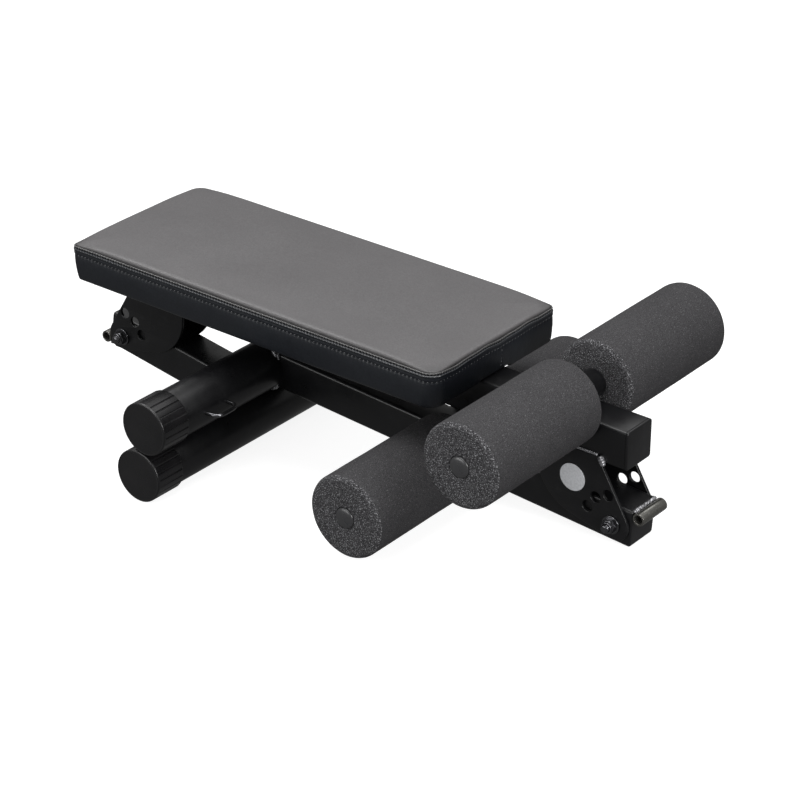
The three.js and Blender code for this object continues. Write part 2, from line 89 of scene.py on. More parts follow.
# near roller end, far roller end, far head end, near head end
PAD_CORNERS = (25.0, 15.0, 22.0, 12.0)
CORNER_SHARE = 36.0              # the length of a side that its two corners take
WASHER_R, WASHER, NUT, HEAD, HEX, TIP = 14.0, 2.5, 10.5, 8.0, 19.0, 6.0
BOLT_R, BOLT_HOLE_R, THREAD_PITCH = 5.9, 6.2, 1.75
PAD_BOLT_R, PAD_BOLT_HEX, PAD_BOLT_HEAD, PAD_BOLT_LENGTH = 4.0, 13.0, 5.0, 12.6
LINER_R, COLLAR_R = 15.7, 20.5
BADGE_R, BADGE_T, BADGE_AT = 21.0, 0.8, (853.0, -146.0)
EYELET_Y, EYELET_HALF, EYELET_R, EYELET_LIFT = 178.0, 23.0, 3.0, -5 * RAD
BRACKET_OUT = BEAM / 2 + GAP + PLATE
EDGE_U = (BOSS_R - BRACKET_TOP * sin(SLOPE)) / cos(SLOPE)    # the plate's top outer corner

# ---- frames

pivots = {j["name"]: Vector(j["pos_m"]) for j in frame["joints"]}
along = pivots["front_leg_hinge"] - pivots["rear_leg_hinge"]
TILT = Matrix.Rotation(-atan2(along.z, along.x), 4, "Y")
origin = pivots["front_leg_hinge"] - TILT @ (Vector((FRONT_X, 0, PIVOT_Z)) * MM)
BENCH = Matrix.Translation(origin) @ TILT


def at(x, y, z):
    return BENCH @ Matrix.Translation(Vector((x, y, z)) * MM)


FRONT = at(FRONT_X, 0, PIVOT_Z) @ Matrix.Rotation(FRONT_PITCH, 4, "Y")
REAR = at(REAR_X, 0, PIVOT_Z) @ Matrix.Rotation(REAR_PITCH, 4, "Y")


def shift(matrix, x, y, z):
    return matrix @ Matrix.Translation(Vector((x, y, z)) * MM)


# ---- materials

class Nodes:
    """A few lines to wire a material's nodes."""

    def __init__(self, name):
        self.material = bpy.data.materials.new(name)
        self.material.use_nodes = True
        self.tree = self.material.node_tree
        self.shader = self.tree.nodes["Principled BSDF"]
        self.coords = self.add("ShaderNodeTexCoord").outputs["Object"]

    def put(self, node, name, value):
        """Links an input to another node's output, or gives it a constant."""
        if isinstance(value, bpy.types.NodeSocket):
            self.tree.links.new(value, node.inputs[name])
        else:
            node.inputs[name].default_value = value

    def add(self, kind, **values):
        """A node with its settings and inputs. In an input's name, _ stands for a space."""
        node = self.tree.nodes.new(kind)
        for key, value in values.items():
            if hasattr(node, key):
                setattr(node, key, value)
            else:
                self.put(node, key.replace("_", " "), value)
        return node

    def noise(self, scale, detail=3.0, roughness=0.55):
        return self.add("ShaderNodeTexNoise", Scale=scale, Detail=detail, Roughness=roughness,
                        Vector=self.coords).outputs["Fac"]

    def cells(self, scale, feature="F1"):
        return self.add("ShaderNodeTexVoronoi", feature=feature, Scale=scale,
                        Vector=self.coords).outputs["Distance"]

    def span(self, value, low, high, to_low=0.0, to_high=1.0):
        return self.add("ShaderNodeMapRange", From_Min=low, From_Max=high, To_Min=to_low, To_Max=to_high,
                        Value=value).outputs["Result"]

    def mix(self, factor, a, b):
        a, b = ((*c, 1) if isinstance(c, tuple) else c for c in (a, b))
        return self.add("ShaderNodeMix", data_type="RGBA", Factor=factor, A=a, B=b).outputs["Result"]

    def math(self, operation, a, b):
        node = self.add("ShaderNodeMath", operation=operation)
        self.put(node, 0, a)
        self.put(node, 1, b)
        return node.outputs["Value"]

    def bump(self, height, strength, distance, under=None):
        node = self.add("ShaderNodeBump", Strength=strength, Distance=distance, Height=height)
        if under is not None:
            self.put(node, "Normal", under)
        return node.outputs["Normal"]

    def finish(self, colour, roughness, normal, metallic=0.0, specular=0.5):
        for name, value in (("Base Color", colour), ("Roughness", roughness), ("Normal", normal),
                            ("Metallic", metallic), ("Specular IOR Level", specular)):
            self.put(self.shader, name, value)
        return self.material


def powder_coat():
    n = Nodes("black_powder_coat")
    cloud = n.noise(9.0, 4.0)
    orange_peel = n.noise(900.0, 2.0)
    scuffs = n.span(n.noise(60.0, 6.0, 0.7), 0.56, 0.72)
    colour = n.mix(n.span(cloud, 0.3, 0.7), (0.0036, 0.0036, 0.0042), (0.0060, 0.0060, 0.0067))
    colour = n.mix(n.math("MULTIPLY", scuffs, 0.25), colour, (0.025, 0.025, 0.027))
    roughness = n.span(n.noise(35.0, 3.0), 0.3, 0.7, 0.27, 0.38)
    normal = n.bump(orange_peel, 0.12, 0.0003, n.bump(cloud, 0.03, 0.002))
    return n.finish(colour, roughness, normal, specular=0.42)


def weld_with_painted_glint():
    n = Nodes("weld_painted_glint")
    # painted highlight: the beads are in the frame's black coat, and their grey, lighter on the lumps, stands
    # in for the light they catch
    lumps = n.noise(420.0, 3.0)
    colour = n.mix(n.span(lumps, 0.35, 0.65), (0.12, 0.12, 0.125), (0.42, 0.42, 0.44))
    roughness = n.span(lumps, 0.3, 0.7, 0.16, 0.34)
    return n.finish(colour, roughness, n.bump(lumps, 0.3, 0.0008), metallic=0.45, specular=0.8)


def worn_metal(name, cloud_scale, wear, dark, light, bright, share, depth, metallic, specular):
    """wear gives the wear's noise scale, its detail and the level from which it shows."""
    n = Nodes(name)
    cloud = n.noise(cloud_scale, 4.0)
    scale, detail, level = wear
    worn = n.span(n.noise(scale, detail), level, 0.7)
    colour = n.mix(n.math("MULTIPLY", worn, share), n.mix(cloud, dark, light), bright)
    roughness = n.span(cloud, 0.3, 0.7, 0.10, 0.20)
    return n.finish(colour, roughness, n.bump(worn, depth, 0.0002), metallic, specular)


def moulded_plastic(name, dark, light, rough_low, rough_high, specular):
    n = Nodes(name)
    cloud = n.noise(22.0, 4.0)
    grain = n.noise(1500.0, 2.0)
    scuffs = n.span(n.noise(140.0, 6.0, 0.75), 0.6, 0.72, 0.0, 0.35)
    colour = n.mix(n.span(cloud, 0.3, 0.7), dark, light)
    colour = n.mix(scuffs, colour, tuple(2.2 * c for c in light))
    roughness = n.span(cloud, 0.3, 0.7, rough_low, rough_high)
    return n.finish(colour, roughness, n.bump(grain, 0.1, 0.0002), specular=specular)


def foam_skin():
    n = Nodes("foam_skin")
    fine = n.noise(1150.0, 2.0, 0.6)
    coarse = n.noise(420.0, 3.0, 0.6)
    cloud = n.noise(14.0, 3.0)
    specks = n.span(n.noise(700.0, 1.0), 0.66, 0.75)
    colour = n.mix(n.span(cloud, 0.3, 0.7), (0.056, 0.054, 0.057), (0.067, 0.065, 0.068))
    colour = n.mix(n.span(fine, 0.38, 0.62, 0.0, 0.9), colour, (0.015, 0.015, 0.016))
    colour = n.mix(n.math("MULTIPLY", specks, 0.7), colour, (0.22, 0.22, 0.225))
    roughness = n.span(coarse, 0.3, 0.7, 0.8, 0.96)
    height = n.math("ADD", fine, n.math("MULTIPLY", coarse, 0.8))
    return n.finish(colour, roughness, n.bump(height, 0.55, 0.0012), specular=0.22)


def foam_cut_face():
    n = Nodes("foam_cut_face")
    cell = n.cells(430.0)
    speck = n.span(n.noise(640.0, 1.0), 0.58, 0.68)
    pit = n.span(cell, 0.15, 0.6)
    colour = n.mix(pit, (0.006, 0.006, 0.007), (0.050, 0.049, 0.052))
    colour = n.mix(speck, colour, (0.27, 0.27, 0.28))
    roughness = n.span(cell, 0.0, 1.0, 0.75, 0.95)
    height = n.math("ADD", pit, n.math("MULTIPLY", n.noise(900.0, 2.0), 0.5))
    return n.finish(colour, roughness, n.bump(height, 0.6, 0.0012), specular=0.3)


def leatherette(name, dark, light, specular, rough_low, rough_high, grain=0.2, painted_seam_shade=None):
    """The last argument gives the heights, in metres, between which painted shade darkens the colour down to
    the seam.
    """
    n = Nodes(name)

    def darker(share):
        return tuple(share * c for c in dark)

    pebble = n.cells(1050.0)
    crease = n.cells(1050.0, "SMOOTH_F1")
    cloud = n.noise(7.0, 5.0)
    mottled = n.noise(75.0, 4.0)
    colour = n.mix(n.span(cloud, 0.3, 0.7), dark, light)
    colour = n.mix(n.span(n.noise(430.0, 3.0, 0.7), 0.4, 0.6, 0.0, 0.6), colour, darker(0.72))
    colour = n.mix(n.span(pebble, 0.35, 0.75, 0.0, 0.3), colour, darker(0.45))
    # painted shade: below the given heights the colour darkens towards the seam's crease
    if painted_seam_shade:
        height = n.add("ShaderNodeSeparateXYZ", Vector=n.coords).outputs["Z"]
        height = n.math("ADD", height, n.span(n.noise(45.0, 3.0), 0.3, 0.7, -0.0006, 0.0006))
        colour = n.mix(n.span(height, *painted_seam_shade, 1.0, 0.0), colour, darker(0.16))
    roughness = n.math("ADD", n.span(cloud, 0.3, 0.7, rough_low, rough_high),
                       n.span(mottled, 0.3, 0.7, -0.03, 0.03))
    height = n.math("SUBTRACT", n.math("MULTIPLY", n.noise(2400.0, 2.0), 0.25), crease)
    return n.finish(colour, roughness, n.bump(height, grain, 0.0005, n.bump(cloud, 0.12, 0.004)),
                    specular=specular)


def thread(name, dark, light):
    n = Nodes(name)
    fibres = n.noise(2600.0, 2.0)
    colour = n.mix(fibres, dark, light)
    return n.finish(colour, n.span(fibres, 0.3, 0.7, 0.45, 0.7), n.bump(fibres, 0.5, 0.0002), specular=0.4)


def stained_board():
    n = Nodes("stained_board")
    n.coords = n.add("ShaderNodeMapping", Scale=(0.08, 1.0, 1.0), Vector=n.coords).outputs["Vector"]
    grain = n.noise(240.0, 5.0)
    colour = n.mix(grain, (0.012, 0.010, 0.009), (0.035, 0.028, 0.022))
    return n.finish(colour, n.span(grain, 0.3, 0.7, 0.7, 0.9), n.bump(grain, 0.2, 0.0006))


def printed_badge():
    n = Nodes("blank_badge")
    wear = n.noise(300.0, 4.0)
    colour = n.mix(n.span(wear, 0.4, 0.75), (0.62, 0.63, 0.65), (0.48, 0.49, 0.51))
    return n.finish(colour, n.span(wear, 0.3, 0.7, 0.4, 0.55), n.bump(wear, 0.05, 0.0002))


PAINT = powder_coat()
WELD_GLINT = weld_with_painted_glint()
ZINC = worn_metal("dark_zinc", 160.0, (700.0, 3.0, 0.55), (0.07, 0.07, 0.074), (0.17, 0.17, 0.18),
                  (0.5, 0.5, 0.52), 0.25, 0.1, 0.95, 0.5)
GLOSS = worn_metal("gloss_tube", 90.0, (500.0, 4.0, 0.56), (0.10, 0.098, 0.09), (0.18, 0.176, 0.16),
                   (0.42, 0.42, 0.41), 0.4, 0.12, 0.75, 0.7)
CAP = moulded_plastic("ribbed_cap_plastic", (0.0045, 0.0045, 0.005), (0.0085, 0.008, 0.0088),
                      0.22, 0.32, 0.55)
HUB = moulded_plastic("smooth_hub_plastic", (0.034, 0.034, 0.036), (0.046, 0.046, 0.048), 0.24, 0.34, 0.6)
FOAM = foam_skin()
FOAM_FACE = foam_cut_face()
# painted sheen: the top panel's grey, far lighter than the border's black leatherette, stands in for the
# overhead light's sheen
PAD_TOP_SHEEN_SKIN = leatherette("pad_top_sheen_leatherette", (0.098, 0.094, 0.096), (0.112, 0.108, 0.110),
                           0.45, 0.40, 0.48, painted_seam_shade=(-0.0005, 0.0062))
# painted highlight: the upper seam roll is lighter than the border's leatherette, for the bright line along
# it
ROLL_HIGHLIGHT_SKIN = leatherette("pad_roll_highlight_leatherette", (0.050, 0.049, 0.049), (0.066, 0.064, 0.063),
                        0.9, 0.16, 0.26, 0.1)
PAD_SIDE_SKIN = leatherette("pad_border_leatherette", (0.0085, 0.0100, 0.0135), (0.012, 0.0145, 0.019),
                            0.4, 0.36, 0.44)
# painted shade: near-black leatherette in the seam's crease between the two rolls
PAD_VALLEY_SHADE = leatherette("pad_valley_shade_leatherette", (0.002, 0.002, 0.002), (0.004, 0.004, 0.004),
                         0.2, 0.6, 0.8, 0.1)
# painted highlight: the lower seam roll is a lighter copy of the border's leatherette
PAD_ROLL_LOW_HIGHLIGHT = leatherette("pad_lower_roll_highlight_leatherette", (0.014, 0.016, 0.020), (0.020, 0.023, 0.028),
                           0.9, 0.16, 0.26, 0.1)
DARK_THREAD = thread("seam_thread", (0.022, 0.022, 0.024), (0.055, 0.055, 0.058))
PALE_THREAD = thread("pale_thread", (0.14, 0.14, 0.15), (0.30, 0.30, 0.31))
BOARD = stained_board()
BADGE = printed_badge()
SLOTS = {
    "black_powder_coat": (PAINT, WELD_GLINT), "black_plastic": (CAP, HUB), "dark_zinc": (ZINC, GLOSS),
    "foam": (FOAM,), "upholstery": (ROLL_HIGHLIGHT_SKIN, PAD_SIDE_SKIN, DARK_THREAD, PALE_THREAD),
    "board": (BOARD,), "badge": (BADGE,),
}

# ---- mesh tools


def mesh_of(name, bm):
    mesh = bpy.data.meshes.new(name)
    bm.to_mesh(mesh)
    bm.free()
    return mesh


def linked(name, data):
    thing = bpy.data.objects.new(name, data)
    bpy.context.scene.collection.objects.link(thing)
    return thing


def make(name, bm, matrix, body, materials, stands_for=(), sharp=32, smooth=True):
    """Makes an object of a bmesh whose units are millimetres. The slot of its first material is looked up and
    not used.
    """
    bmesh.ops.scale(bm, vec=(MM, MM, MM), verts=bm.verts)
    mesh = mesh_of(name, bm)
    mesh.polygons.foreach_set("use_smooth", [smooth] * len(mesh.polygons))
    if smooth and sharp:
        mesh.set_sharp_from_angle(angle=sharp * RAD)
    if not isinstance(materials, list):
        materials = [materials]
    for material in materials:
        mesh.materials.append(material)
    piece = linked(name, mesh)
    piece.matrix_world = matrix
    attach(piece, body)
    if stands_for:
        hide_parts(*stands_for)
    slot = next(name for name, members in SLOTS.items() if materials[0] in members)
    return piece


def rounded(points, radii, steps=4, closed=False):
    """A polyline whose corners are replaced by arcs."""
    out = []
    count = len(points)
    for i, (point, radius) in enumerate(zip(points, radii)):
        inner = closed or 0 < i < count - 1
        if not radius or not inner:
            out.append(tuple(point))
            continue
        p = Vector(point)
        a = Vector(points[i - 1]) - p
        b = Vector(points[(i + 1) % count]) - p
        angle = a.angle(b)
        reach = min(radius / tan(angle / 2), 0.49 * a.length, 0.49 * b.length)
        radius = reach * tan(angle / 2)
        centre = p + (a.normalized() + b.normalized()).normalized() * (radius / sin(angle / 2))
        start = p + a.normalized() * reach - centre
        end = p + b.normalized() * reach - centre
        a0 = atan2(start.y, start.x)
        turn = (atan2(end.y, end.x) - a0 + pi) % (2 * pi) - pi
        for k in range(steps + 1):
            angle_k = a0 + turn * k / steps
            out.append((centre.x + radius * cos(angle_k), centre.y + radius * sin(angle_k)))
    return out


def loft(loops, closed_loops=True, cap_first=False, cap_last=False, ring_shape=False):
    """Joins loops of 3-D points into a skin."""
    bm = bmesh.new()
    rows = [[bm.verts.new(p) for p in loop] for loop in loops]
    if ring_shape:
        rows.append(rows[0])
    for a, b in zip(rows, rows[1:]):
        count = len(a)
        for i in range(count if closed_loops else count - 1):
            j = (i + 1) % count
            bm.faces.new((a[i], a[j], b[j], b[i]))
    if cap_first:
        bm.faces.new(rows[0][::-1])
    if cap_last:
        bm.faces.new(rows[-1])
    bmesh.ops.remove_doubles(bm, verts=bm.verts, dist=1e-4)
    bmesh.ops.recalc_face_normals(bm, faces=bm.faces)
    return bm


def turns(count):
    return [2 * pi * k / count for k in range(count)]


def lathe(profile, segments=64, closed=False, change=None):
    """Turns (radius, y) points about the Y axis. change(r, y, angle) may move a radius."""
    loops = []
    for r, y in profile:
        radii = [(change(r, y, a) if change else r, a) for a in turns(segments)]
        loops.append([(radius * cos(a), y, radius * sin(a)) for radius, a in radii])
    return loft(loops, ring_shape=closed)


def ring(inner, outer, y0, y1, edges, steps=3, segments=48):
    """A tube about the Y axis. edges gives the rounding of its inner and outer rims."""
    a, b = edges
    corners = [(inner, y0), (outer, y0), (outer, y1), (inner, y1)]
    return lathe(rounded(corners, [a, b, b, a], steps, closed=True), segments, closed=True)


def box_section(width, corner, x, inset=0.0):
    """A square section across X, with rounded corners."""
    half, radius = (width - 2 * inset) / 2, max(corner - inset, 0.6)
    corners = [(half, -half), (half, half), (-half, half), (-half, -half)]
    return [(x, u, w) for u, w in rounded(corners, [radius] * 4, 5, closed=True)]


def rim(width, corner, x, radius, inwards, steps=4):
    """Sections of a rounded end rim, from the end face to the bar's full width."""
    angles = [pi / 2 * k / steps for k in range(steps, -1, -1)]
    return [box_section(width, corner, x + inwards * radius * (1 - sin(a)), radius * (1 - cos(a)))
            for a in angles]


def square_bar(x0, x1, rim0, rim1):
    """A length of the beam's section with rounded end rims."""
    start, end = rim(BEAM, TUBE_CORNER, x0, rim0, 1), rim(BEAM, TUBE_CORNER, x1, rim1, -1)
    return loft(start + end[::-1], cap_first=True, cap_last=True)


def resample(path, spacing, closed):
    """Evenly spaced points along a path."""
    points = [Vector(p) for p in path]
    if closed:
        points.append(points[0].copy())
    lengths = [0.0]
    for a, b in zip(points, points[1:]):
        lengths.append(lengths[-1] + (b - a).length)
    count = max(4, round(lengths[-1] / spacing))
    out, i = [], 0
    for k in range(count if closed else count + 1):
        want = lengths[-1] * k / count
        while i < len(lengths) - 2 and lengths[i + 1] < want:
            i += 1
        share = (want - lengths[i]) / max(lengths[i + 1] - lengths[i], 1e-9)
        out.append(points[i].lerp(points[i + 1], share))
    return out


def sweep(path, radius_at, closed=False, sides=8, up=Vector((0, 0, 1)), ends=True):
    """A round bar along a path. radius_at(i, side) gives its radius at each station."""
    count = len(path)
    loops = []
    normal = None
    for i, p in enumerate(path):
        before = path[i - 1] if i or closed else p
        after = path[(i + 1) % count] if i < count - 1 or closed else p
        tangent = (after - before).normalized()
        if normal is None:
            normal = (up - tangent * up.dot(tangent)).normalized()
        normal = (normal - tangent * normal.dot(tangent)).normalized()
        side = tangent.cross(normal)
        loops.append([p + (normal * cos(a) + side * sin(a)) * radius_at(i, k)
                      for k, a in enumerate(turns(sides))])
    return loft(loops, ring_shape=closed, cap_first=ends and not closed, cap_last=ends and not closed)


def weld_bead(name, path, radius, matrix, body, closed=False, lumps=0.24):
    """A rippled bead of weld along a path."""
    points = resample(path, 1.1, closed)

    def radius_at(i, k):
        ripple = 1 + 0.07 * sin(i * 1.7)
        ripple += lumps * noise.noise(points[i] * 0.31 + Vector((k * 0.4, 0, 0)))
        ripple += 0.22 * noise.noise(points[i] * 0.12)
        fade = 1 if closed else min(1, 0.45 + 0.3 * min(i, len(points) - 1 - i))
        return radius * ripple * fade

    make(name, sweep(points, radius_at, closed), matrix, body, WELD_GLINT, sharp=0)


def joined(target, *others):
    """Adds other bmeshes to the first one."""
    for other in others:
        mesh = mesh_of("part", other)
        target.from_mesh(mesh)
        bpy.data.meshes.remove(mesh)
    return target


def moved(bm, matrix):
    bmesh.ops.transform(bm, matrix=matrix, verts=bm.verts)
    return bm


def mirrored(bm, side):
    """A piece made for the far side, on the side given."""
    moved(bm, Matrix.Scale(side, 4, Vector((0, 1, 0))))
    bmesh.ops.recalc_face_normals(bm, faces=bm.faces)
    return bm


SIDES = (("near", -1), ("far", 1))

# ---- beam


def build_beam():
    place = at(0, 0, BEAM_TOP - BEAM / 2)
    flange = PLUG_FLANGE
    tube = square_bar(flange + GAP, BEAM_END - flange - GAP, 0.5, 0.5)
    make("beam", tube, place, "frame", PAINT, ["beam_tube"])
    head = square_bar(0, flange, 1.8, 0.4)
    make("beam_head_plug", head, place, "frame", HUB, ["beam_plug_head_end"])
    end = square_bar(BEAM_END - flange, BEAM_END, 0.4, 1.9)
    make("beam_end_plug", end, place, "frame", PAINT, ["beam_plug_roller_end"])


# ---- brackets


def bracket_points():
    """The plate's outline as (u, w): u outwards from the middle of the bench, w up, from the pivot."""
    apart = hypot(ARC_U, ARC_W)
    tangent = atan2(-ARC_W, -ARC_U) - acos((ARC_R - BOSS_R) / apart) + 2 * pi
    top = pi - asin((BRACKET_TOP - ARC_W) / ARC_R)
    points = []
    for k in range(41):
        a = top + (tangent - top) * k / 40
        points.append((ARC_U + ARC_R * cos(a), ARC_W + ARC_R * sin(a)))
    for k in range(25):
        a = tangent + (SLOPE + 2 * pi - tangent) * k / 24
        points.append((BOSS_R * cos(a), BOSS_R * sin(a)))
    points.append((EDGE_U, BRACKET_TOP))
    return [(u, max(w, -PLATE_FOOT)) for u, w in points]


def plate_from(outer, holes, thickness, bevel):
    """A plate with bevelled edges and holes, in the XZ plane, its faces at y = +-thickness / 2."""
    curve = bpy.data.curves.new("plate", "CURVE")
    curve.dimensions = "2D"
    curve.fill_mode = "BOTH"
    curve.extrude = thickness / 2 - bevel
    curve.bevel_depth = bevel
    curve.bevel_resolution = 2
    curve.offset = -bevel
    loops = [outer]
    for x, y, radius in holes:
        loops.append([(x + radius * cos(a), y + radius * sin(a)) for a in turns(40)])
    for loop in loops:
        spline = curve.splines.new("POLY")
        spline.points.add(len(loop) - 1)
        for point, (x, y) in zip(spline.points, loop):
            point.co = (x, y, 0, 1)
        spline.use_cyclic_u = True
    holder = linked("plate", curve)
    bpy.context.view_layer.update()
    mesh = bpy.data.meshes.new_from_object(holder.evaluated_get(bpy.context.evaluated_depsgraph_get()))
    bm = bmesh.new()
    bm.from_mesh(mesh)
    bpy.data.objects.remove(holder)
    bpy.data.curves.remove(curve)
    bpy.data.meshes.remove(mesh)
    bmesh.ops.remove_doubles(bm, verts=bm.verts, dist=1e-4)
    moved(bm, Matrix.Rotation(pi / 2, 4, "X"))
    bmesh.ops.recalc_face_normals(bm, faces=bm.faces)
    return bm


def build_bracket(end, pivot_x, outward):
    outer = [(outward * u, w) for u, w in bracket_points()]
    holes = [(0, 0, BOLT_HOLE_R)]
    for angle in LOCK_ANGLES:
        a = angle * RAD
        holes.append((outward * LOCK_R * cos(a), LOCK_R * sin(a), LOCK_HOLE_R))
    place = at(pivot_x, 0, PIVOT_Z)
    for side_name, side in SIDES:
        plate = plate_from(outer, holes, PLATE, 0.9)
        name = f"{end}_bracket_{side_name}"
        middle = at(pivot_x, side * (BEAM / 2 + GAP + PLATE / 2), PIVOT_Z)
        make(f"{name}_plate", plate, middle, "frame", PAINT, [name], 40)
        # bead along the plate's top edge, ending in a blob at the sloping edge
        top = [(outward * u, side * (BEAM / 2 + 1.6), BRACKET_TOP + 0.4)
               for u in range(-118, int(EDGE_U) - 2, 4)]
        weld_bead(f"{name}_weld", top, 2.1, place, "frame")
        corner = [(outward * (EDGE_U + 2.0 + 0.55 * k), side * (BEAM / 2 + 3.0), BRACKET_TOP + 0.5 - 1.05 * k)
                  for k in range(14)]
        weld_bead(f"{name}_corner_weld", corner, 4.3, place, "frame", lumps=0.5)


# ---- fasteners


def hex_points(across_flats, angle):
    step = pi / 3
    return across_flats / 2 / cos((angle + step / 2) % step - step / 2)


def hex_body(across_flats, y0, y1, bore=0.0, both=False):
    """A hexagon with the chamfer that a nut or bolt head has, from y0 to the chamfered end y1."""
    limit = across_flats / 2 * 0.96
    direction = 1 if y1 > y0 else -1

    def loop(y_of, r_of):
        return [(r_of(a) * cos(a), y_of(a), r_of(a) * sin(a)) for a in turns(72)]

    def corner(a):
        return hex_points(across_flats, a)

    def drop(a):
        return direction * (corner(a) - limit) * 0.55

    loops = [
        loop(lambda a: y0, lambda a: max(bore, 0.01)),
        loop(lambda a: y0, lambda a: limit if both else corner(a)),
        loop(lambda a: y0 + (drop(a) if both else 0), corner),
        loop(lambda a: y1 - drop(a), corner),
        loop(lambda a: y1, lambda a: limit),
        loop(lambda a: y1, lambda a: bore + 0.8 if bore else 0.01),
    ]
    if bore:
        loops.append(loop(lambda a: y1 - direction * 0.8, lambda a: bore))
    return loft(loops, ring_shape=bool(bore))


def threaded_rod(radius, pitch, y0, y1):
    """A thread's ridges as a helix, with a domed end at y1."""
    segments = 30
    direction = 1 if y1 > y0 else -1
    length = abs(y1 - y0)
    steps = int(length / (pitch / 6))
    loops = []
    for i in range(steps + 1):
        y = length * i / steps
        fade = min(1.0, (length - y) / 1.2)
        loop = []
        for k, a in enumerate(turns(segments)):
            phase = (y / pitch - k / segments) % 1
            groove = 0.62 * pitch * (1 - abs(2 * phase - 1))
            r = (radius - groove * 0.75) * (0.82 + 0.18 * fade)
            loop.append((r * cos(a), y0 + direction * y, r * sin(a)))
        loops.append(loop)
    for share in (0.6, 0.01):
        r = radius * 0.8 * share
        loops.append([(r * cos(a), y1 + direction * 0.5 * (1 - share), r * sin(a))
                      for a in turns(segments)])
    return loft(loops)


def build_pivot(end, pivot_x):
    washer_in = BRACKET_OUT + GAP
    washer_out = washer_in + WASHER
    head_in = washer_out + GAP
    nut_out = head_in + NUT
    place = at(pivot_x, 0, PIVOT_Z) @ Matrix.Rotation(0.35, 4, "Y")
    bolt = joined(
        hex_body(HEX, head_in, head_in + HEAD),
        lathe([(0.01, head_in + 0.1), (BOLT_R, head_in + 0.1), (BOLT_R, -head_in), (0.01, -head_in)], 32),
        threaded_rod(BOLT_R, THREAD_PITCH, -nut_out + 1.0, -(nut_out + TIP - 0.6)),
    )
    make(f"{end}_bolt", bolt, place, "frame", ZINC, [f"{end}_pivot_bolt"])
    collar_in = -(nut_out - 3.2)      # the nut's locking collar
    nut = joined(
        hex_body(HEX, -head_in, -(nut_out - 3.0), 6.0),
        lathe(rounded([(6.3, collar_in), (8.9, collar_in), (8.3, -nut_out), (6.3, -nut_out)],
                      [0, 0.6, 1.0, 0.4], 3, closed=True), 40, closed=True),
    )
    make(f"{end}_nut", nut, place, "frame", ZINC, [f"{end}_pivot_nut"])
    for side_name, side in SIDES:
        washer = ring(BOLT_HOLE_R, WASHER_R, side * washer_in, side * washer_out, (0.3, 0.7))
        make(f"{end}_washer_{side_name}", washer, place, "frame", ZINC, [f"{end}_pivot_washer_{side_name}"])


def build_badge():
    face = -(BRACKET_OUT + GAP)
    disc = [(0.01, face), (BADGE_R, face), (BADGE_R, face - BADGE_T), (0.01, face - BADGE_T)]
    x, z = BADGE_AT
    make("badge_disc", lathe(rounded(disc, [0, 0.2, 0.5, 0], 3), 72), at(x, 0, z), "frame", BADGE,
         ["blank_badge"])


# ---- rollers


def foam_tube(seed, swollen):
    edge = 8.5
    profile = rounded([(FOAM_BORE_R, FOAM_INNER + 14), (FOAM_BORE_R, FOAM_INNER), (FOAM_R, FOAM_INNER),
                       (FOAM_R, FOAM_OUTER), (FOAM_BORE_R, FOAM_OUTER), (FOAM_BORE_R, FOAM_OUTER - 14)],
                      [0, 1.6, edge, edge, 1.6, 0], 7)
    # more stations along the side, so that it can wander a little
    along_side = [i for i, (r, _) in enumerate(profile) if abs(r - FOAM_R) < 1e-6]
    first, last = along_side[0], along_side[-1]
    y0, y1 = profile[first][1], profile[last][1]
    between = [(FOAM_R, y0 + (y1 - y0) * k / 24) for k in range(1, 24)]
    profile = profile[:first + 1] + between + profile[last:]

    def wander(r, y, angle):
        if r < FOAM_BORE_R + 3:
            return r
        p = Vector((cos(angle) * 2.1, y / 55, sin(angle) * 2.1)) + Vector((seed, 0, seed))
        return r + swollen - 0.35 + 0.35 * noise.noise(p)

    return lathe(profile, 112, change=wander)


def build_rollers(pair, matrix, body):
    axle_end = FOAM_OUTER - 2.6
    axle = ring(AXLE_R - 2, AXLE_R, -axle_end, axle_end, (0.2, 0.2), 2)
    make(f"{pair}_axle_tube", axle, matrix, body, PAINT, [f"{pair}_axle"])
    for side_name, side in SIDES:
        seed = 3.7 * side + (11.0 if pair == "upper" else 0.0)
        foam = foam_tube(seed, 1.4 if (pair, side) == ("lower", 1) else 0.0)
        for face in foam.faces:
            face.material_index = 1 if abs(face.normal.y) > 0.45 else 0
        roller = f"{pair}_roller_{side_name}"
        piece = make(f"{roller}_sleeve", mirrored(foam, side), matrix, roller, [FOAM, FOAM_FACE],
                     [f"{pair}_roller_foam_{side_name}"], sharp=0)
        liner = ring(AXLE_R + GAP, LINER_R, FOAM_INNER + 0.4, axle_end - 0.4, (0.4, 0.4), 2)
        make(f"{roller}_tube", mirrored(liner, side), matrix, roller, HUB,
             [f"{pair}_roller_liner_{side_name}"])
        face_y = axle_end + GAP
        shape = rounded([(10.3, face_y - 16), (10.3, face_y), (HUB_R, face_y), (HUB_R, face_y + 2.0)],
                        [0, 0.3, 0.4, 0], 3)
        dome = [(HUB_R * cos(a), face_y + 2.0 + 4.2 * sin(a))
                for a in (pi / 2 * k / 9 for k in range(1, 10))]
        dome[-1] = (0.01, dome[-1][1])
        make(f"{pair}_hub_cap_{side_name}", mirrored(lathe(shape + dome, 56), side), matrix, body, HUB,
             [f"{pair}_hub_plug_{side_name}"], 50)


def build_saddle():
    half = FOAM_INNER - GAP
    place = at(UPPER_X, 0, UPPER_Z)
    saddle = ring(AXLE_R + GAP, SADDLE_R, -half, half, (0.6, 1.2), 3, 64)
    make("upper_saddle_tube", saddle, place, "frame", PAINT, ["upper_axle_saddle"])
    for end, sign in (("head", -1), ("end", 1)):
        line = [(sign * 7.5, y, -SADDLE_R + 1.4) for y in range(-29, 30, 2)]
        weld_bead(f"upper_saddle_weld_{end}", line, 2.2, place, "frame")


# ---- legs


